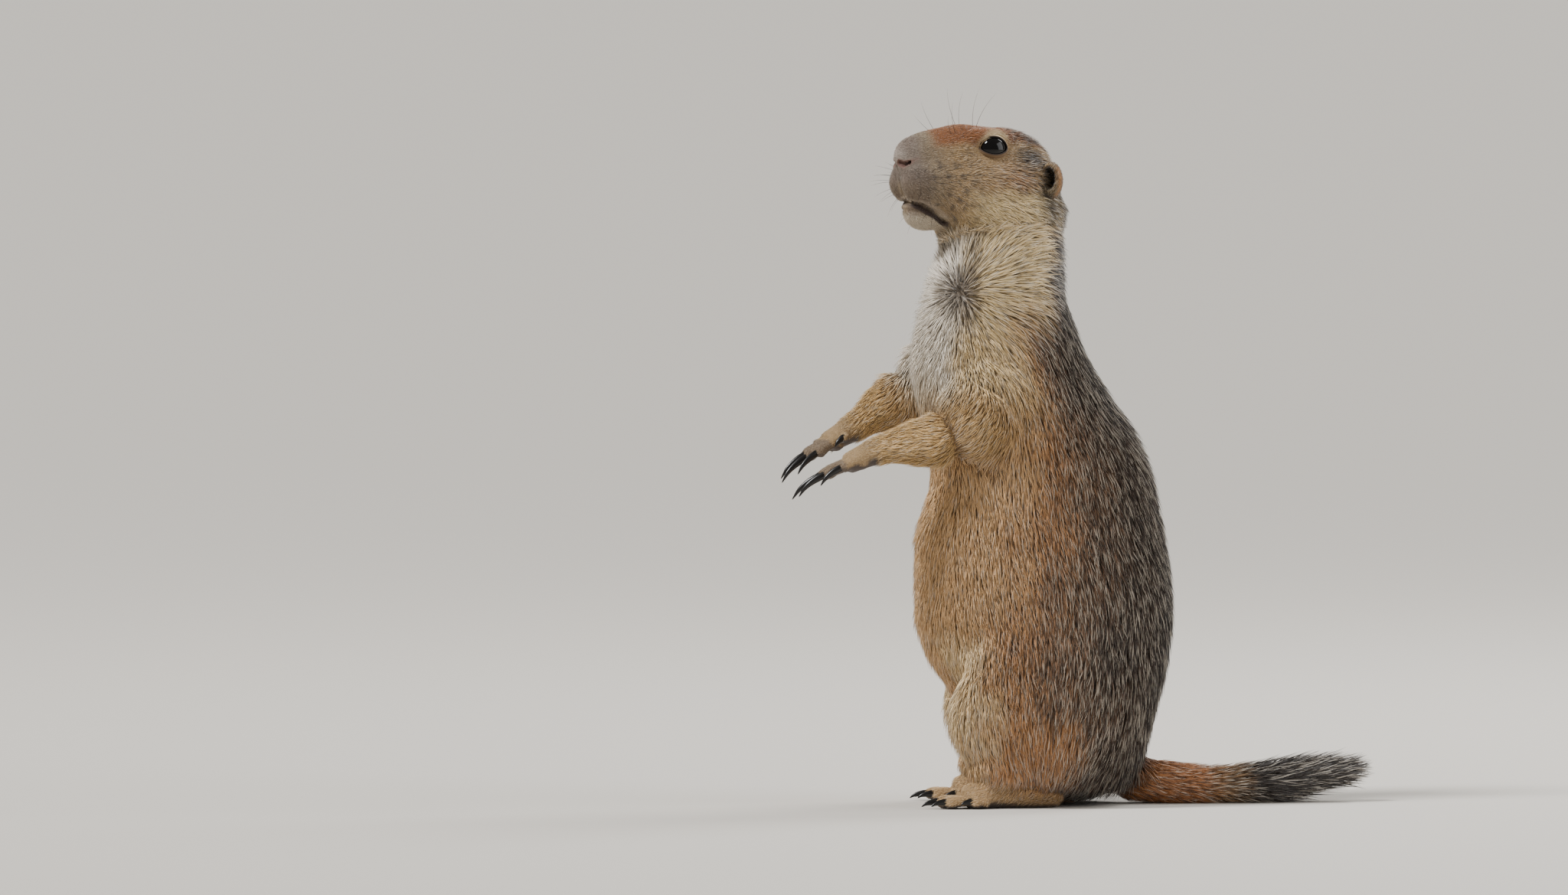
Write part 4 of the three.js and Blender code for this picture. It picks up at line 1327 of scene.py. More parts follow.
@dataclass(frozen=True)
class CoatFinish:
    """Hair or haired skin in the colours of a mesh attribute: dull, with a soft sheen where light grazes."""

    name: str
    roughness: float = 0.62
    sheen: float = 0.25
    bump_mm: float = 0.0
    shine: float = 0.35
    sheen_roughness: float = 0.4
    grain_mm: float = 0.9
    bump_strength: float = 0.6

    def build(self) -> bpy.types.Material:
        """The material.

        Returns:
            The new material.
        """
        material, shader = plain_material(self.name)
        tree = material.node_tree
        colour = node(tree, "ShaderNodeAttribute", attribute_name="hair")
        tree.links.new(colour.outputs["Color"], shader.inputs["Base Color"])
        shader.inputs["Roughness"].default_value = self.roughness
        shader.inputs["Specular IOR Level"].default_value = self.shine
        shader.inputs["Sheen Weight"].default_value = self.sheen
        shader.inputs["Sheen Roughness"].default_value = self.sheen_roughness
        if self.bump_mm:
            place = node(tree, "ShaderNodeTexCoord")
            noise = node(tree, "ShaderNodeTexNoise", Scale=1 / (self.grain_mm * MM), Detail=3.0)
            bump = node(tree, "ShaderNodeBump", Strength=self.bump_strength, Distance=self.bump_mm * MM)
            tree.links.new(place.outputs["Object"], noise.inputs["Vector"])
            tree.links.new(noise.outputs["Fac"], bump.inputs["Height"])
            tree.links.new(bump.outputs["Normal"], shader.inputs["Normal"])
        return material


@dataclass(frozen=True)
class WetFinish:
    """A smooth glossy surface, such as an eye, a claw or a whisker."""

    name: str
    colour: str
    roughness: float
    coat: float
    shine: float = 0.5
    coat_roughness: float = 0.04

    def build(self) -> bpy.types.Material:
        """The material.

        Returns:
            The new material.
        """
        material, shader = plain_material(self.name)
        shader.inputs["Base Color"].default_value = (*to_linear(self.colour), 1)
        shader.inputs["Roughness"].default_value = self.roughness
        shader.inputs["Specular IOR Level"].default_value = self.shine
        shader.inputs["Coat Weight"].default_value = self.coat
        shader.inputs["Coat Roughness"].default_value = self.coat_roughness
        return material


def colour_attribute(made: bpy.types.Object, colours: Array) -> None:
    """Gives a mesh its colours, one for each point, in the attribute that its finish reads.

    Args:
        made: The mesh object.
        colours: N by 3 array of linear colours, one for each point.
    """
    layer = made.data.color_attributes.new("hair", "FLOAT_COLOR", "POINT")
    data = np.ones((len(colours), 4), np.float32)
    data[:, :3] = colours
    layer.data.foreach_set("color", data.ravel())


def finished(made: bpy.types.Object, material: bpy.types.Material) -> bpy.types.Object:
    """Gives a piece its material and its slot, and lets it ride on the model's one body.

    Args:
        made: The piece.
        material: Its material.

    Returns:
        The same piece.
    """
    made.data.materials.append(material)
    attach(made, ROOT)
    return made


# Skin


@dataclass
class Skin:
    """One skin for the whole body, set in from the tips of the coat by the coat's depth."""

    voxel_mm: float = 1.5
    steps: int = 4
    last_steps: int = 3
    longest_move: float = 3.0
    least_slope: float = 0.2
    finer_within: tuple[float, float] = (34.0, 15.0)
    head_above: float = 240.0

    def rough(self) -> bpy.types.Object:
        """All parts of the body as closed meshes in one object.

        Returns:
            The object, with its parts still apart.
        """
        rings = [TRUNK.rings(), HEAD.rings(), TAIL.rings()]
        for arm in ARMS.values():
            rings += [arm.upper.rings(), arm.lower.rings()] + [finger.rings() for finger in arm.fingers]
        for leg in LEGS.values():
            rings += [leg.shank.rings(), leg.sole.rings()] + [finger.rings() for finger in leg.fingers]
        for centre, form in TRUNK.swellings:
            x, y, z = centre
            wide, deep, high = form
            ball = Limb([[x, y, z - high], [x, y, z + high]], [[0, wide], [1, wide]], [[0, deep], [1, deep]],
                        (high, high), up=(0, 1, 0))
            rings.append(ball.rings(28))
        return mesh_object("rough_skin", *joined([closed_grid(r) for r in rings]))

    def set_in(self, points: Array, normals: Array, steps: int) -> Array:
        """The points moved along the field's slope until they lie the coat's depth below the outline.

        Args:
            points: Places near the outline.
            normals: The surface's directions there, for the coat's depth.
            steps: How many times the move is repeated.

        Returns:
            The moved points.
        """
        for _ in range(steps):
            at = Places(points, normals)
            value, slope = BODY.slope(points)
            value = value + LIE.depth(at) + at.of(Region.HEAD) * FACE.carved(at.head)
            rate = np.maximum(dot(slope, slope), self.least_slope)
            move = -slope * (value / rate)[:, None]
            far = np.linalg.norm(move, axis=1, keepdims=True)
            points = points + move * np.minimum(1, self.longest_move / np.maximum(far, 1e-6))
        return points

    def build(self) -> bpy.types.Object:
        """Joins the parts, sets the surface in, makes the face finer and cuts the nostrils and mouth in.

        Returns:
            The skin, not yet coloured.
        """
        rough = self.rough()
        remesh = rough.modifiers.new("one surface", "REMESH")
        remesh.mode = "VOXEL"
        remesh.voxel_size = self.voxel_mm * MM
        evaluated = rough.evaluated_get(bpy.context.evaluated_depsgraph_get())
        mesh = bpy.data.meshes.new_from_object(evaluated)
        bpy.data.objects.remove(rough)
        self.place(mesh, self.steps)
        work = bmesh.new()
        work.from_mesh(mesh)
        for reach in self.finer_within:
            self.finer(work, reach)
        bmesh.ops.triangulate(work, faces=work.faces[:])
        work.to_mesh(mesh)
        work.free()
        self.place(mesh, self.last_steps)
        mesh.polygons.foreach_set("use_smooth", np.full(len(mesh.polygons), True))
        mesh.name = "skin"
        return linked("skin", mesh)

    def finer(self, work: bmesh.types.BMesh, reach: float) -> None:
        """Splits the edges of the face that are nearer than `reach` mm to the tip of the nose.

        Args:
            work: The mesh, changed in place.
            reach: How far back from the tip of the nose, in mm.
        """
        work.verts.ensure_lookup_table()
        points = np.array([v.co for v in work.verts]) / MM - SHIFT
        local = HEAD.to_head(points)
        near = (local[:, 1] < reach) & (points[:, 2] > self.head_above)
        edges = [e for e in work.edges if near[e.verts[0].index] and near[e.verts[1].index]]
        bmesh.ops.subdivide_edges(work, edges=edges, cuts=1, use_grid_fill=True)
        work.verts.index_update()

    def place(self, mesh: bpy.types.Mesh, steps: int) -> None:
        """Moves a mesh's points onto the skin's own surface, none of it under the floor.

        Args:
            mesh: The mesh, changed in place.
            steps: How many times the move is repeated.
        """
        points = self.points(mesh)
        normals = np.empty(len(mesh.vertices) * 3, np.float32)
        mesh.vertices.foreach_get("normal", normals)
        points = self.set_in(points, normals.reshape(-1, 3).astype(float), steps)
        points[:, 2] = np.maximum(points[:, 2], SKIN_FLOOR_MM)
        mesh.vertices.foreach_set("co", ((points + SHIFT) * MM).astype(np.float32).ravel())
        mesh.update()

    @staticmethod
    def points(mesh: bpy.types.Mesh) -> Array:
        """The mesh's points in the animal's frame, in mm.

        Args:
            mesh: A mesh that is already in place in metres.

        Returns:
            N by 3 array in mm.
        """
        co = np.empty(len(mesh.vertices) * 3, np.float32)
        mesh.vertices.foreach_get("co", co)
        return co.reshape(-1, 3).astype(float) / MM - SHIFT


@dataclass
class Surface:
    """A triangle mesh as arrays, from which the roots of hairs are drawn."""

    points: Array
    normals: Array
    faces: Array

    @classmethod
    def of(cls, made: bpy.types.Object) -> "Surface":
        """The arrays of a mesh object.

        Args:
            made: The mesh object.

        Returns:
            Its points, normals and triangles.
        """
        mesh = made.data
        mesh.calc_loop_triangles()
        faces = np.empty(len(mesh.loop_triangles) * 3, np.int32)
        mesh.loop_triangles.foreach_get("vertices", faces)
        normals = np.empty(len(mesh.vertices) * 3, np.float32)
        mesh.vertices.foreach_get("normal", normals)
        return cls(Skin.points(mesh), unit(normals.reshape(-1, 3).astype(float)), faces.reshape(-1, 3))

    def sample(self, count: int, density: Array, random: np.random.Generator) -> tuple[Array, Array]:
        """Draws places spread over the surface in proportion to a density.

        Args:
            count: How many.
            density: A weight for each point of the mesh.
            random: The seeded source of chance.

        Returns:
            The places and the normals there.
        """
        a, b, c = (self.points[self.faces[:, k]] for k in range(3))
        area = np.linalg.norm(np.cross(b - a, c - a), axis=1) / 2
        weight = np.cumsum(area * density[self.faces].mean(axis=1))
        spot = (np.arange(count) + random.random(count)) / count * weight[-1]
        face = np.minimum(np.searchsorted(weight, spot), len(self.faces) - 1)
        u, v = random.random(count), random.random(count)
        over = u + v > 1
        u, v = np.where(over, 1 - u, u)[:, None], np.where(over, 1 - v, v)[:, None]
        corner = self.faces[face]
        share = (1 - u - v, u, v)
        points = sum(self.points[corner[:, k]] * share[k] for k in range(3))
        normals = unit(sum(self.normals[corner[:, k]] * share[k] for k in range(3)))
        return points, normals


# Coat


TUFT_SUNK_MM = 0.35  # how deep a tuft is rooted in the skin
TUFT_BEND_AT = 0.45  # share of its length at which it bends
TUFT_BEND_TO = 0.45  # share of its slant that it keeps past the bend
TUFT_MIDDLE_SIZE = 0.82
TUFT_THICKNESS = 0.7
BAKE_PATCH = 0.0015  # half the size of one tuft on the map for the bake


@dataclass
class Tufts:
    """Small bent, tapered tufts of hair with their roots in the skin."""

    roots: Array
    normals: Array
    lie: Array
    length: Array
    width: Array
    slant: Array
    root_colour: Array
    shaft_colour: Array
    tip_colour: Array
    patch: Array

    def chosen(self, which: Array) -> "Tufts":
        """Some of the tufts."""
        return Tufts(**{name: getattr(self, name)[which] for name in self.__dataclass_fields__})

    def build(self, name: str) -> bpy.types.Object:
        """One joined mesh: each tuft is two rings of three points and a tip.

        A tuft rises from the skin at its slant, and over its outer part it bends to less than half of that.
        It is flattened along the skin and widest at its root.

        Args:
            name: The name of the piece.

        Returns:
            The object.
        """
        count = len(self.roots)
        across = unit(np.cross(self.lie, self.normals))

        def way(angle: Array) -> Array:
            """The direction at an angle above the skin."""
            return self.lie * np.cos(angle)[:, None] + self.normals * np.sin(angle)[:, None]

        start = self.roots - self.normals * TUFT_SUNK_MM
        middle = self.roots + way(self.slant) * (self.length * TUFT_BEND_AT)[:, None]
        tip = middle + way(self.slant * TUFT_BEND_TO) * (self.length * (1 - TUFT_BEND_AT))[:, None]
        points = np.empty((count, 7, 3))
        colours = np.empty((count, 7, 3))
        for k, (centre, size, colour) in enumerate(((start, 1.0, self.root_colour),
                                                    (middle, TUFT_MIDDLE_SIZE, self.shaft_colour))):
            half = (self.width * size / 2)[:, None]
            points[:, 3 * k] = centre - across * half
            points[:, 3 * k + 1] = centre + across * half
            points[:, 3 * k + 2] = centre + self.normals * half * TUFT_THICKNESS
            colours[:, 3 * k:3 * k + 3] = colour[:, None]
        points[:, 6] = tip
        colours[:, 6] = self.tip_colour
        points[..., 2] = np.maximum(points[..., 2], HAIR_FLOOR_MM)
        pattern = np.array([[0, 1, 4], [0, 4, 3], [1, 2, 5], [1, 5, 4], [2, 0, 3], [2, 3, 5],
                            [3, 4, 6], [4, 5, 6], [5, 3, 6], [0, 2, 1]])
        faces = (pattern[None] + (np.arange(count) * 7)[:, None, None]).reshape(-1, 3)
        made = mesh_object(name, points.reshape(-1, 3), faces)
        colour_attribute(made, colours.reshape(-1, 3))
        layer = made.data.uv_layers.new(name="OFBake")
        corner = np.array([[-1, -1], [1, -1], [0, 0], [-0.8, 0.2], [0.8, 0.2], [0, 0.5], [0, 1]])
        spot = (self.patch[:, None] + corner[None] * BAKE_PATCH).reshape(-1, 2)
        layer.data.foreach_set("uv", spot[faces.ravel()].astype(np.float32).ravel())
        return made


def unwrapped(at: Places) -> Array:
    """Where places lie on an unwrap of the skin: each region is rolled out in a cell of its own.

    Around the trunk, the long axis of the head, each limb and the tail, the angle gives one coordinate
    and the way along gives the other.

    Args:
        at: Places on the skin.

    Returns:
        N by 2 array of coordinates between 0 and 1.
    """
    region = np.argmax(at.share, axis=1)
    place = np.empty((len(region), 2))
    cells = {Region.TRUNK: (0.01, 0.01, 0.58, 0.6), Region.HEAD: (0.01, 0.63, 0.58, 0.36),
             Region.ARM_LEFT: (0.61, 0.01, 0.18, 0.3), Region.ARM_RIGHT: (0.81, 0.01, 0.18, 0.3),
             Region.LEG_LEFT: (0.61, 0.33, 0.18, 0.3), Region.LEG_RIGHT: (0.81, 0.33, 0.18, 0.3),
             Region.TAIL: (0.61, 0.65, 0.38, 0.34)}
    limbs = {Region.ARM_LEFT: ARMS["left"].lower, Region.ARM_RIGHT: ARMS["right"].lower,
             Region.LEG_LEFT: LEGS["left"].sole, Region.LEG_RIGHT: LEGS["right"].sole, Region.TAIL: TAIL}
    for part, (left, low, wide, high) in cells.items():
        mine = region == part.value
        if part is Region.TRUNK:
            along, around = at.height[mine] / 280, at.turn[mine] + 0.5
        elif part is Region.HEAD:
            along = (at.head[mine, 1] + 2) / 96
            around = np.arctan2(at.head[mine, 0], at.head[mine, 2] + 8) / (2 * np.pi) + 0.5
        else:
            along, around = limbs[part].around(at.points[mine])
        place[mine, 0] = left + wide * np.clip(around, 0.01, 0.99)
        place[mine, 1] = low + high * np.clip(along, 0.01, 0.99)
    return place


@dataclass
class Coat:
    """The whole coat, in pieces that each stay under the limit of triangles."""

    surface: Surface
    count: int = 143_000
    piece_tufts: int = 19_800
    seed: int = 11

    def density(self) -> Array:
        """How many more tufts grow at each point of the skin than on the back.

        Returns:
            A weight for each point of the skin.
        """
        at = Places(self.surface.points, self.surface.normals)
        bare = ramp(FACE.to_nostril(at.head), 1.3, 0.7) + ramp(FACE.to_mouth(at.head), 1.6, 0.7)
        bare = (bare + ramp(FACE.to_eye(at.head), 8.6, 7.0)) * at.of(Region.HEAD)
        palm = at.of(Region.ARM_LEFT, Region.ARM_RIGHT) * ramp(at.hand(), 0.66, 0.72)
        bare = bare + palm * ramp(at.normals[:, 2], -0.1, -0.5)
        bare = bare + at.foot() * ramp(at.normals[:, 2], -0.3, -0.6)
        size = 9.5 / np.maximum(LIE.length(at), 1.4)
        size = 1 + (np.minimum(size, 5.5) - 1) * 0.8
        size = size * (1 + 1.6 * at.of(Region.TAIL))
        return size * np.clip(1 - bare, 0, 1)

    def grow(self) -> Tufts:
        """All tufts of the skin, with their sizes, slants and colours.

        Returns:
            The tufts.
        """
        random = np.random.default_rng(self.seed)
        points, normals = self.surface.sample(self.count, self.density(), random)
        at = Places(points, normals)
        return self.dressed(at, LIE.direction(at), LIE.length(at), random)

    def dressed(self, at: Places, lie: Array, length: Array, random: np.random.Generator) -> Tufts:
        """Tufts at given places.

        Args:
            at: Where they grow.
            lie: Which way they lie.
            length: Their mean length in mm.
            random: The seeded source of chance.

        Returns:
            The tufts.
        """
        count = len(at.points)
        across = np.cross(lie, at.normals)
        clump = (hashed(at.points, 4.0, 9.0) - 0.5) * 0.5
        sway = (random.normal(0, 0.13, count) + clump)[:, None]
        lie = unit(lie + across * sway)
        size = length * random.uniform(0.75, 1.2, count)
        paint = MARKINGS.paint(at)
        chance = random.random(count)
        tip = paint.shaft * 1.12
        tip = np.where((chance < paint.dark)[:, None], to_linear(MARKINGS.black), tip)
        tip = np.where((chance > 1 - paint.pale)[:, None], to_linear(MARKINGS.white), tip)
        shaft = paint.shaft * random.uniform(0.8, 1.18, count)[:, None]
        darkened = (chance < paint.dark)[:, None]
        shaft = np.where(darkened, shaft * 0.62 + to_linear(MARKINGS.black) * 0.38, shaft)
        width = np.clip(0.11 * length ** 0.8, 0.15, 0.72) * random.uniform(0.75, 1.2, count)
        slant = LIE.slant(at) * random.uniform(0.55, 1.35, count)
        return Tufts(at.points, at.normals, lie, size, width, slant, paint.root, shaft, tip, unwrapped(at))

    def build(self, material: bpy.types.Material) -> None:
        """Makes the pieces of the coat, region by region.

        Args:
            material: The material of the piece.
        """
        tufts = self.grow()
        at = Places(tufts.roots, tufts.normals)
        region = np.argmax(at.share, axis=1)
        brush = at.tail() > TAIL_TIP_SHARE
        groups = {
            ("body", "body_fur"): (region == Region.TRUNK.value) & (at.height < 212),
            ("throat", "throat_fur"): (region == Region.TRUNK.value) & (at.height >= 212),
            ("head", "head_fur"): region == Region.HEAD.value,
            ("arm", "arm_fur"): (region == Region.ARM_LEFT.value) | (region == Region.ARM_RIGHT.value),
            ("leg", "leg_fur"): (region == Region.LEG_LEFT.value) | (region == Region.LEG_RIGHT.value),
            ("tail", "tail_fur"): (region == Region.TAIL.value) & ~brush,
            ("brush", "tail_brush_fur"): (region == Region.TAIL.value) & brush,
        }
        for (name, slot), mine in groups.items():
            order = np.flatnonzero(mine)
            order = order[np.argsort(-tufts.roots[order, 2])]
            pieces = max(1, math.ceil(len(order) / self.piece_tufts))
            for number, part in enumerate(np.array_split(order, pieces), 1):
                made = tufts.chosen(part).build(f"{name}_coat_{number}")
                finished(made, material)
                log.info("%s_coat_%d: %d tufts", name, number, len(part))


# Eyes, lids, ears, claws and whiskers


@dataclass
class Eye:
    """A glossy black eye with its dark-rimmed lids."""

    side: int
    lid_depth: float = 3.2
    lid_columns: int = 72

    def __post_init__(self) -> None:
        """Works out the eye's centre and directions in the head's frame."""
        self.centre = HEAD.eye_centre(self.side)
        x, y, z = HEAD.aim
        self.aim = unit(np.array([x * self.side, y, z]))
        self.back = unit(np.array([0, 1.0, -0.1]) - self.aim * (np.array([0, 1.0, -0.1]) @ self.aim))
        self.up = np.cross(self.back, self.aim) * -self.side
        self.up = self.up * np.sign(self.up[2])

    def ball(self) -> tuple[Array, Array]:
        """The eyeball as a fine sphere with its front a little flatter.

        Returns:
            The points and the triangles.
        """
        polar = np.linspace(0.03, np.pi - 0.03, 33)[:, None, None]
        angle = np.linspace(0, 2 * np.pi, 48, endpoint=False)[None, :, None]
        shape = (np.sin(polar) * np.cos(angle) * self.back + np.sin(polar) * np.sin(angle) * self.up
                 + np.cos(polar) * self.aim)
        return closed_grid(HEAD.to_body(self.centre + shape * HEAD.eye_radius))

    def lids(self) -> tuple[Array, Array, Array]:
        """The lids: an almond-shaped band from the eyeball over a rounded rim out into the skin.

        Returns:
            Points, faces and colours.
        """
        angle = np.linspace(0, 2 * np.pi, self.lid_columns, endpoint=False)
        long, high = HEAD.opening[0] / 2, HEAD.opening[1] / 2
        almond = np.sign(np.sin(angle)) * np.abs(np.sin(angle)) ** 1.25
        rings, colours = [], []
        levels = [(0.97, -0.35, "#0d0908"), (1.0, 0.15, "#120c0a"), (1.04, 0.6, "#1d1411"),
                  (1.1, 0.8, "#3b2c22"), (1.18, 0.75, None), (1.28, 0.45, None), (1.42, None, None)]
        for scale, lift, colour in levels:
            a = np.cos(angle) * (long + (scale - 1) * 5.6)
            b = almond * (high + (scale - 1) * np.where(almond > 0, 6.4, 4.6))
            flat = self.centre + a[:, None] * self.back + b[:, None] * self.up
            if lift is None:
                outer = flat + self.aim * 3.0
                for _ in range(6):
                    value = HEAD.distance_local(outer) + self.lid_depth
                    slope = np.stack([(HEAD.distance_local(outer + 0.2 * np.eye(3)[k])
                                       - HEAD.distance_local(outer)) / 0.2 for k in range(3)], axis=-1)
                    outer = outer - slope * (value / np.maximum(dot(slope, slope), 0.2))[:, None]
                ring = outer
            else:
                radius = HEAD.eye_radius + lift
                depth = np.sqrt(np.maximum(radius ** 2 - a ** 2 - b ** 2, 0.5))
                ring = flat + self.aim * depth[:, None]
            rings.append(ring)
            pale = ramp(np.sin(angle), -0.15, 0.3)[:, None]
            skin = to_linear("#d9c49c") * pale + to_linear("#6a543c") * (1 - pale)
            colours.append(skin if colour is None else np.tile(to_linear(colour), (self.lid_columns, 1)))
        points = HEAD.to_body(np.concatenate(rings))
        quads = grid_faces(len(levels), self.lid_columns)
        return points, quads if self.side < 0 else quads[:, ::-1], np.concatenate(colours)


@dataclass
class Ear:
    """A small round ear: a cup with an orange rim that opens outward and forward."""

    side: int
    stands_out: float = 0.2
    opens: tuple = (2.6, -2.6, 0.6)
    rim_degrees: float = 46.0
    outer_radii: tuple = (5.0, 5.6, 8.6)
    hollow_radii: tuple = (4.2, 4.7, 7.5)
    hollow_shift: float = 0.9
    rows: int = 14
    columns: int = 48
    hairs: int = 2600
    hair_mm: float = 2.6
    seed: int = 31

    def rings(self) -> tuple[Array, Array]:
        """The ear's surface from its back, over the rim and down into the hollow.

        Returns:
            The rings of points and, for each point, 0 at the back, 1 at the rim and 2 in the hollow.
        """
        back, up = HEAD.ear
        x = float(HEAD.side_at(back, up)[0]) + self.stands_out
        centre = np.array([x, back, up])
        out = unit(np.array(self.opens))
        side = unit(np.cross(out, [0, 0, 1.0]))
        over = np.cross(side, out)
        angle = np.linspace(0, 2 * np.pi, self.columns, endpoint=False)[None, :, None]
        rim = np.radians(self.rim_degrees)
        outer = np.linspace(np.pi - 0.05, rim, self.rows)
        inner = np.linspace(rim, np.pi - 0.25, self.rows)
        rings = []
        shells = ((outer, self.outer_radii, 0.0), (inner, self.hollow_radii, self.hollow_shift))
        for polar, radii, moved in shells:
            p = polar[:, None, None]
            way = np.sin(p) * np.cos(angle) * side + np.sin(p) * np.sin(angle) * over + np.cos(p) * out
            rings.append(centre + out * moved + way * np.array(radii))
        state = np.concatenate([np.linspace(0, 1, self.rows), np.linspace(1, 2, self.rows)])
        joined_rings = np.concatenate(rings) * np.array([self.side, 1, 1])
        return HEAD.to_body(joined_rings), np.repeat(state, self.columns)

    def build(self, material: bpy.types.Material) -> bpy.types.Object:
        """The ear as a piece with its colours.

        Args:
            material: The material of the piece.

        Returns:
            The ear.
        """
        rings, state = self.rings()
        points, faces = closed_grid(rings)
        if self.side < 0:
            faces = faces[:, ::-1]
        state = np.append(state, [0, 2])[:, None]
        rear = ramp(HEAD.to_head(points)[:, 1], HEAD.ear[0] - 1, HEAD.ear[0] + 3)[:, None]
        # The hollow colour is painted shade: near black over the inside of the cup.
        back, front, rim, hollow = (to_linear(c) for c in ("#6d5540", "#64503c", "#b98450", "#1d1410"))
        rim = front + (rim - front) * rear
        colour = back + (rim - back) * ramp(state, 0.6, 0.95) + (hollow - rim) * ramp(state, 1.03, 1.3)
        name = "ear_" + ("left" if self.side > 0 else "right")
        made = mesh_object(f"{name}_flap", points, faces)
        colour_attribute(made, colour)
        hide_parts(name)
        return finished(made, material)

    def dress(self, made: bpy.types.Object, coat: Coat, material: bpy.types.Material) -> None:
        """Grows short hair on the back and the rim of the ear, lying toward its rim.

        Args:
            made: The ear.
            coat: The coat that the hair belongs to.
            material: The material of the hair.
        """
        surface = Surface.of(made)
        random = np.random.default_rng(self.seed + self.side)
        local = HEAD.to_head(surface.points)
        back, up = HEAD.ear
        x = float(HEAD.side_at(back, up)[0]) + self.stands_out
        middle = np.array([self.side * x, back, up])
        out = unit(np.array(self.opens) * np.array([self.side, 1, 1]))
        facing = dot(turned(surface.normals, -HEAD.turn), unit(local - middle))
        density = np.where(facing > 0, 1.0, 0.12 + 0.6 * ramp(local[:, 1], back + 1, back - 2))
        points, normals = surface.sample(self.hairs, density, random)
        at = Places(points, normals)
        way = np.tile(turned(out, HEAD.turn), (len(points), 1)) * 0.5 + np.array([0, 0.5, 0.45])
        way = unit(way - normals * dot(way, normals)[:, None])
        tufts = coat.dressed(at, way, np.full(len(points), self.hair_mm), random)
        rim = (ramp(dot(HEAD.to_head(points) - middle, out), -0.5, 2.5)
               * ramp(HEAD.to_head(points)[:, 1], back - 0.5, back + 3.5))[:, None]
        tufts.shaft_colour = tufts.shaft_colour * (1 - rim) + to_linear("#cf8f52") * rim
        tufts.tip_colour = tufts.tip_colour * (1 - rim) + to_linear("#e0b27a") * rim
        finished(tufts.build(f"{made.name}_coat"), material)


@dataclass
class Whiskers:
    """Long dark hairs on the muzzle, over the eyes, on the cheeks and the chin."""

    seed: int = 5
    radius: float = 0.1

    def strands(self) -> list[tuple[Array, Array, float]]:
        """Root, direction and length of each whisker, in the head's frame, for both sides.

        Returns:
            A list of roots, unit directions and lengths in mm.
        """
        random = np.random.default_rng(self.seed)
        found = []
        for side in (LEFT, RIGHT):
            for row in range(5):
                for column in range(5):
                    back, up = 6.5 + column * 2.9 + row * 0.4, -2.5 - row * 2.5
                    x = float(HEAD.side_at(back, up)[0])
                    root = np.array([side * (x - 1.2), back, up])
                    way = unit(np.array([side * (0.85 + 0.1 * column), -0.75 + 0.28 * column,
                                         0.35 - 0.2 * row]) + random.normal(0, 0.1, 3))
                    found.append((root, way, (15 + 4.5 * column) * random.uniform(0.8, 1.15)))
            for back, up, way, length in ((36, 16, (0.35, -0.25, 0.95), 22), (38, 16, (0.4, 0.1, 0.9), 20),
                                          (26, 12, (0.3, -0.45, 0.85), 19), (24, 11.5, (0.5, -0.6, 0.7), 15),
                                          (47, -16, (0.9, 0.2, -0.2), 14), (15, -24, (0.4, -0.5, -0.8), 9),
                                          (12, -22, (0.3, -0.8, -0.5), 8)):
                x = float(HEAD.side_at(back, up)[0]) if up < 10 else 7.0
                start = HEAD.reach(np.array([[0, back, up * 0.2]]),
                                   unit(np.array([[side * x, 0, up * 0.8]])))[0]
                found.append((start, unit(np.array([way[0] * side, way[1], way[2]])), length))
        return found

    def build(self, material: bpy.types.Material) -> bpy.types.Object:
        """All whiskers as one piece of thin tapered tubes that droop a little toward their tips.

        Args:
            material: The material of the piece.

        Returns:
            The whiskers.
        """
        parts = []
        share = np.linspace(0, 1, 12)[:, None]
        angle = np.linspace(0, 2 * np.pi, 5, endpoint=False)[None, :, None]
        for root, way, length in self.strands():
            bend = np.array([0, 0.22, -0.12]) * length
            middle = root - way * 0.6 + way * length * share + bend * share ** 2
            first = unit(np.cross(way, [0.1, 0.2, 1.0]))
            second = np.cross(way, first)
            size = (self.radius * (1 - share * 0.85))[:, None]
            rings = middle[:, None] + size * (np.cos(angle) * first + np.sin(angle) * second)
            parts.append(closed_grid(HEAD.to_body(rings)))
        made = mesh_object("whiskers", *joined(parts))
        return finished(made, material)


def claw_pieces(material: bpy.types.Material) -> None:
    """Makes each claw as a finer piece in the place of the solid of the same name.

    Args:
        material: The material of the piece.
    """
    for name in SIDES:
        paws = (("claw", FINGERS, ARMS[name].claws), ("toe_claw", TOES, LEGS[name].claws))
        for prefix, digits, claws in paws:
            for digit, claw in zip(digits, claws):
                points, faces = closed_grid(claw.rings(16))
                points[:, 2] = np.maximum(points[:, 2], HAIR_FLOOR_MM)
                made = mesh_object(f"{digit[0]}_{prefix}_{name}_horn", points, faces[:, ::-1])
                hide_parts(f"{prefix}_{digit[0]}_{name}")
                finished(made, material)


# Studio


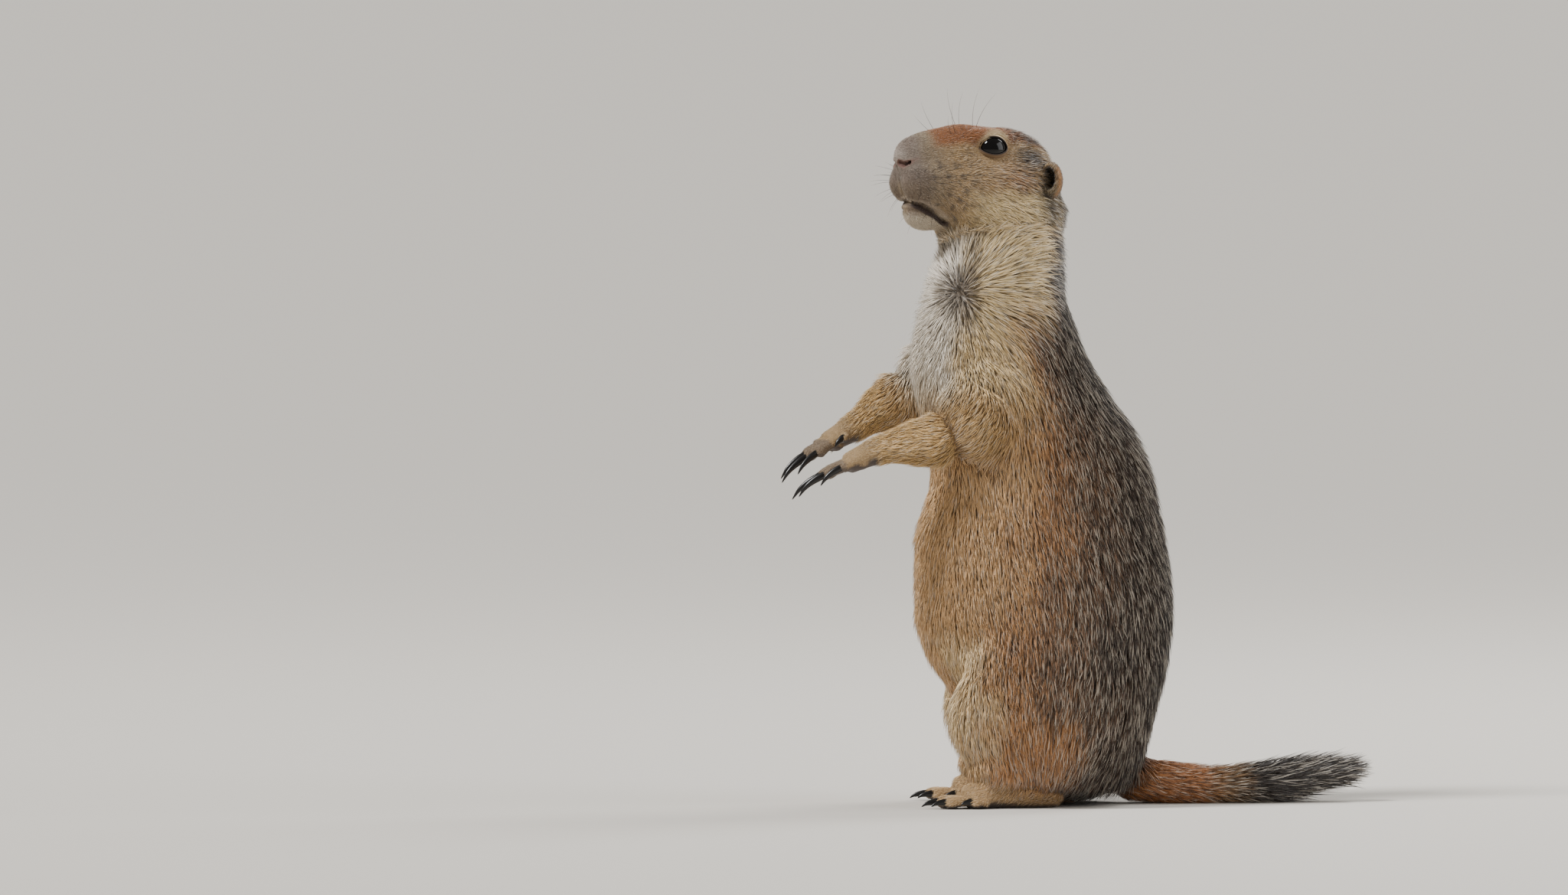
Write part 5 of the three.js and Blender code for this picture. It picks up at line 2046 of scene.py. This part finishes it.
@dataclass
class Studio:
    """Pale floor, soft light and a far camera that looks at the animal's left side."""

    azimuth: float = 80.0
    elevation: float = 2.0
    distance_m: float = 8.0
    picture_width_mm: float = PHOTO_WIDTH_PX * PHOTO_PIXEL_MM
    picture_centre: tuple = (-121.1, 162.9)
    sensor_mm: float = 36.0
    farthest_m: float = 900.0
    light_distance_m: float = 2.0
    light_height_m: float = 0.15
    key_degrees: float = 14.0
    floor_half_mm: float = 400_000.0
    floor_drop_mm: float = 0.05
    world_strength: float = 0.42

    @staticmethod
    def toward(azimuth: float, elevation: float) -> Vector:
        """The direction from the animal to a place at these angles, in degrees."""
        a, e = math.radians(azimuth), math.radians(elevation)
        return Vector((math.sin(a) * math.cos(e), -math.cos(a) * math.cos(e), math.sin(e)))

    def camera(self) -> None:
        """Puts the camera so that the animal stands where it does in the photo."""
        a = np.radians(self.azimuth)
        across, up = self.picture_centre
        target = (np.array([np.cos(a) * across, np.sin(a) * across, up]) + SHIFT) * MM
        way = self.toward(self.azimuth, self.elevation)
        data = bpy.data.cameras.new("camera")
        data.sensor_width = self.sensor_mm
        data.lens = data.sensor_width * self.distance_m / (self.picture_width_mm * MM)
        data.clip_end = self.farthest_m
        made = linked("camera", data)
        made.location = Vector(target) + way * self.distance_m
        made.rotation_euler = way.to_track_quat("Z", "Y").to_euler()
        bpy.context.scene.camera = made

    def sun(self, azimuth: float, elevation: float, strength: float) -> None:
        """An even key light from far away, softened at its shadows' edges.

        Args:
            azimuth: Its angle around the animal, 0 in front, in degrees.
            elevation: Its angle above the floor, in degrees.
            strength: The light's strength.
        """
        way = self.toward(azimuth, elevation)
        data = bpy.data.lights.new("key", "SUN")
        data.energy = strength
        data.angle = math.radians(self.key_degrees)
        made = linked("key", data)
        made.rotation_euler = way.to_track_quat("Z", "Y").to_euler()

    def light(self, name: str, azimuth: float, elevation: float, size: float, power: float) -> None:
        """A square soft light 2 m away that faces the animal.

        Args:
            name: The light's name.
            azimuth: Its angle around the animal, 0 in front, in degrees.
            elevation: Its angle above the floor, in degrees.
            size: Its width in metres.
            power: Its power in watts.
        """
        way = self.toward(azimuth, elevation)
        data = bpy.data.lights.new(name, "AREA")
        data.size = size
        data.energy = power
        made = linked(name, data)
        made.location = way * self.light_distance_m + Vector((0, 0, self.light_height_m))
        made.rotation_euler = way.to_track_quat("Z", "Y").to_euler()

    def floor(self) -> None:
        """A pale floor just under the soles, so wide that its edge is out of every view."""
        ends = (-self.floor_half_mm, self.floor_half_mm)
        points = np.array([[x, y, -self.floor_drop_mm] for y in ends for x in ends])
        made = mesh_object("studio_floor", points, grid_faces(2, 2, around=False), smooth=False)
        material, shader = plain_material("matt pale studio floor")
        shader.inputs["Base Color"].default_value = (*to_linear("#c9c4bc"), 1)
        shader.inputs["Roughness"].default_value = 0.9
        made.data.materials.append(material)

    def build(self) -> None:
        """Sets up floor, lights, surroundings and camera."""
        self.floor()
        self.sun(15, 50, 4.6)
        self.light("fill", 158, 24, 1.6, 22)
        self.light("rim", 215, 45, 0.8, 26)
        world = bpy.data.worlds.new("studio")
        world.use_nodes = True
        shade = world.node_tree.nodes["Background"]
        shade.inputs["Color"].default_value = (*to_linear("#e6e3de"), 1)
        shade.inputs["Strength"].default_value = self.world_strength
        bpy.context.scene.world = world
        self.camera()


def flesh_nodes() -> list[str]:
    """The solids that the skin stands for.

    Returns:
        The names of the nodes.
    """
    names = ["head", "neck", "chest", "belly", "tail_base", "tail_brush"]
    paired = ("haunch", "upper_arm", "forearm", "forepaw", "shank", "hind_foot")
    for side in SIDES:
        names += [f"{part}_{side}" for part in paired]
    return names


def main() -> None:
    """Builds the prairie dog in order: skin, coat, face, claws, then the studio."""
    logging.basicConfig(level=logging.INFO, format="%(name)s: %(message)s")
    # Haired skin: the dull brown that shows between the tufts, in the coat's colours with their painted
    # shade.
    skin_finish = CoatFinish("haired skin", 0.8, 0.1, 0.25).build()
    # Hair: dull shafts with a soft silky sheen along the outline.
    hair_finish = CoatFinish("prairie dog hair").build()
    skin = Skin().build()
    surface = Surface.of(skin)
    at = Places(surface.points, surface.normals)
    paint = MARKINGS.paint(at)
    colour_attribute(skin, paint.shaft * 0.45 + paint.root * 0.35)
    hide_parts(*flesh_nodes())
    finished(skin, skin_finish)
    log.info("skin: %d points, %d triangles", len(surface.points), len(surface.faces))
    coat = Coat(surface)
    coat.build(hair_finish)
    # Eye: almost black and wet, so that it mirrors the lights as one sharp highlight.
    eye_finish = WetFinish("wet black eye", "#060404", 0.05, 0.0, 0.3).build()
    # Horn: smooth black keratin with a broad soft highlight.
    horn_finish = WetFinish("black claw horn", "#0e0b0a", 0.33, 0.1, 0.4).build()
    # Whisker: stiff dark hair with a slight shine.
    whisker_finish = WetFinish("dark whisker", "#1c1512", 0.4, 0.0).build()
    for name, side in SIDES.items():
        eye = Eye(side)
        ball = mesh_object(f"eyeball_{name}", *eye.ball())
        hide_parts(f"eye_{name}")
        finished(ball, eye_finish)
        points, faces, colours = eye.lids()
        lids = mesh_object(f"lids_{name}", points, faces)
        colour_attribute(lids, colours)
        finished(lids, skin_finish)
        ear = Ear(side)
        ear.dress(ear.build(skin_finish), coat, hair_finish)
        log.info("eye and ear: %s", name)
    claw_pieces(horn_finish)
    Whiskers().build(whisker_finish)
    log.info("claws and whiskers")
    Studio().build()


if __name__ == "__main__":
    main()
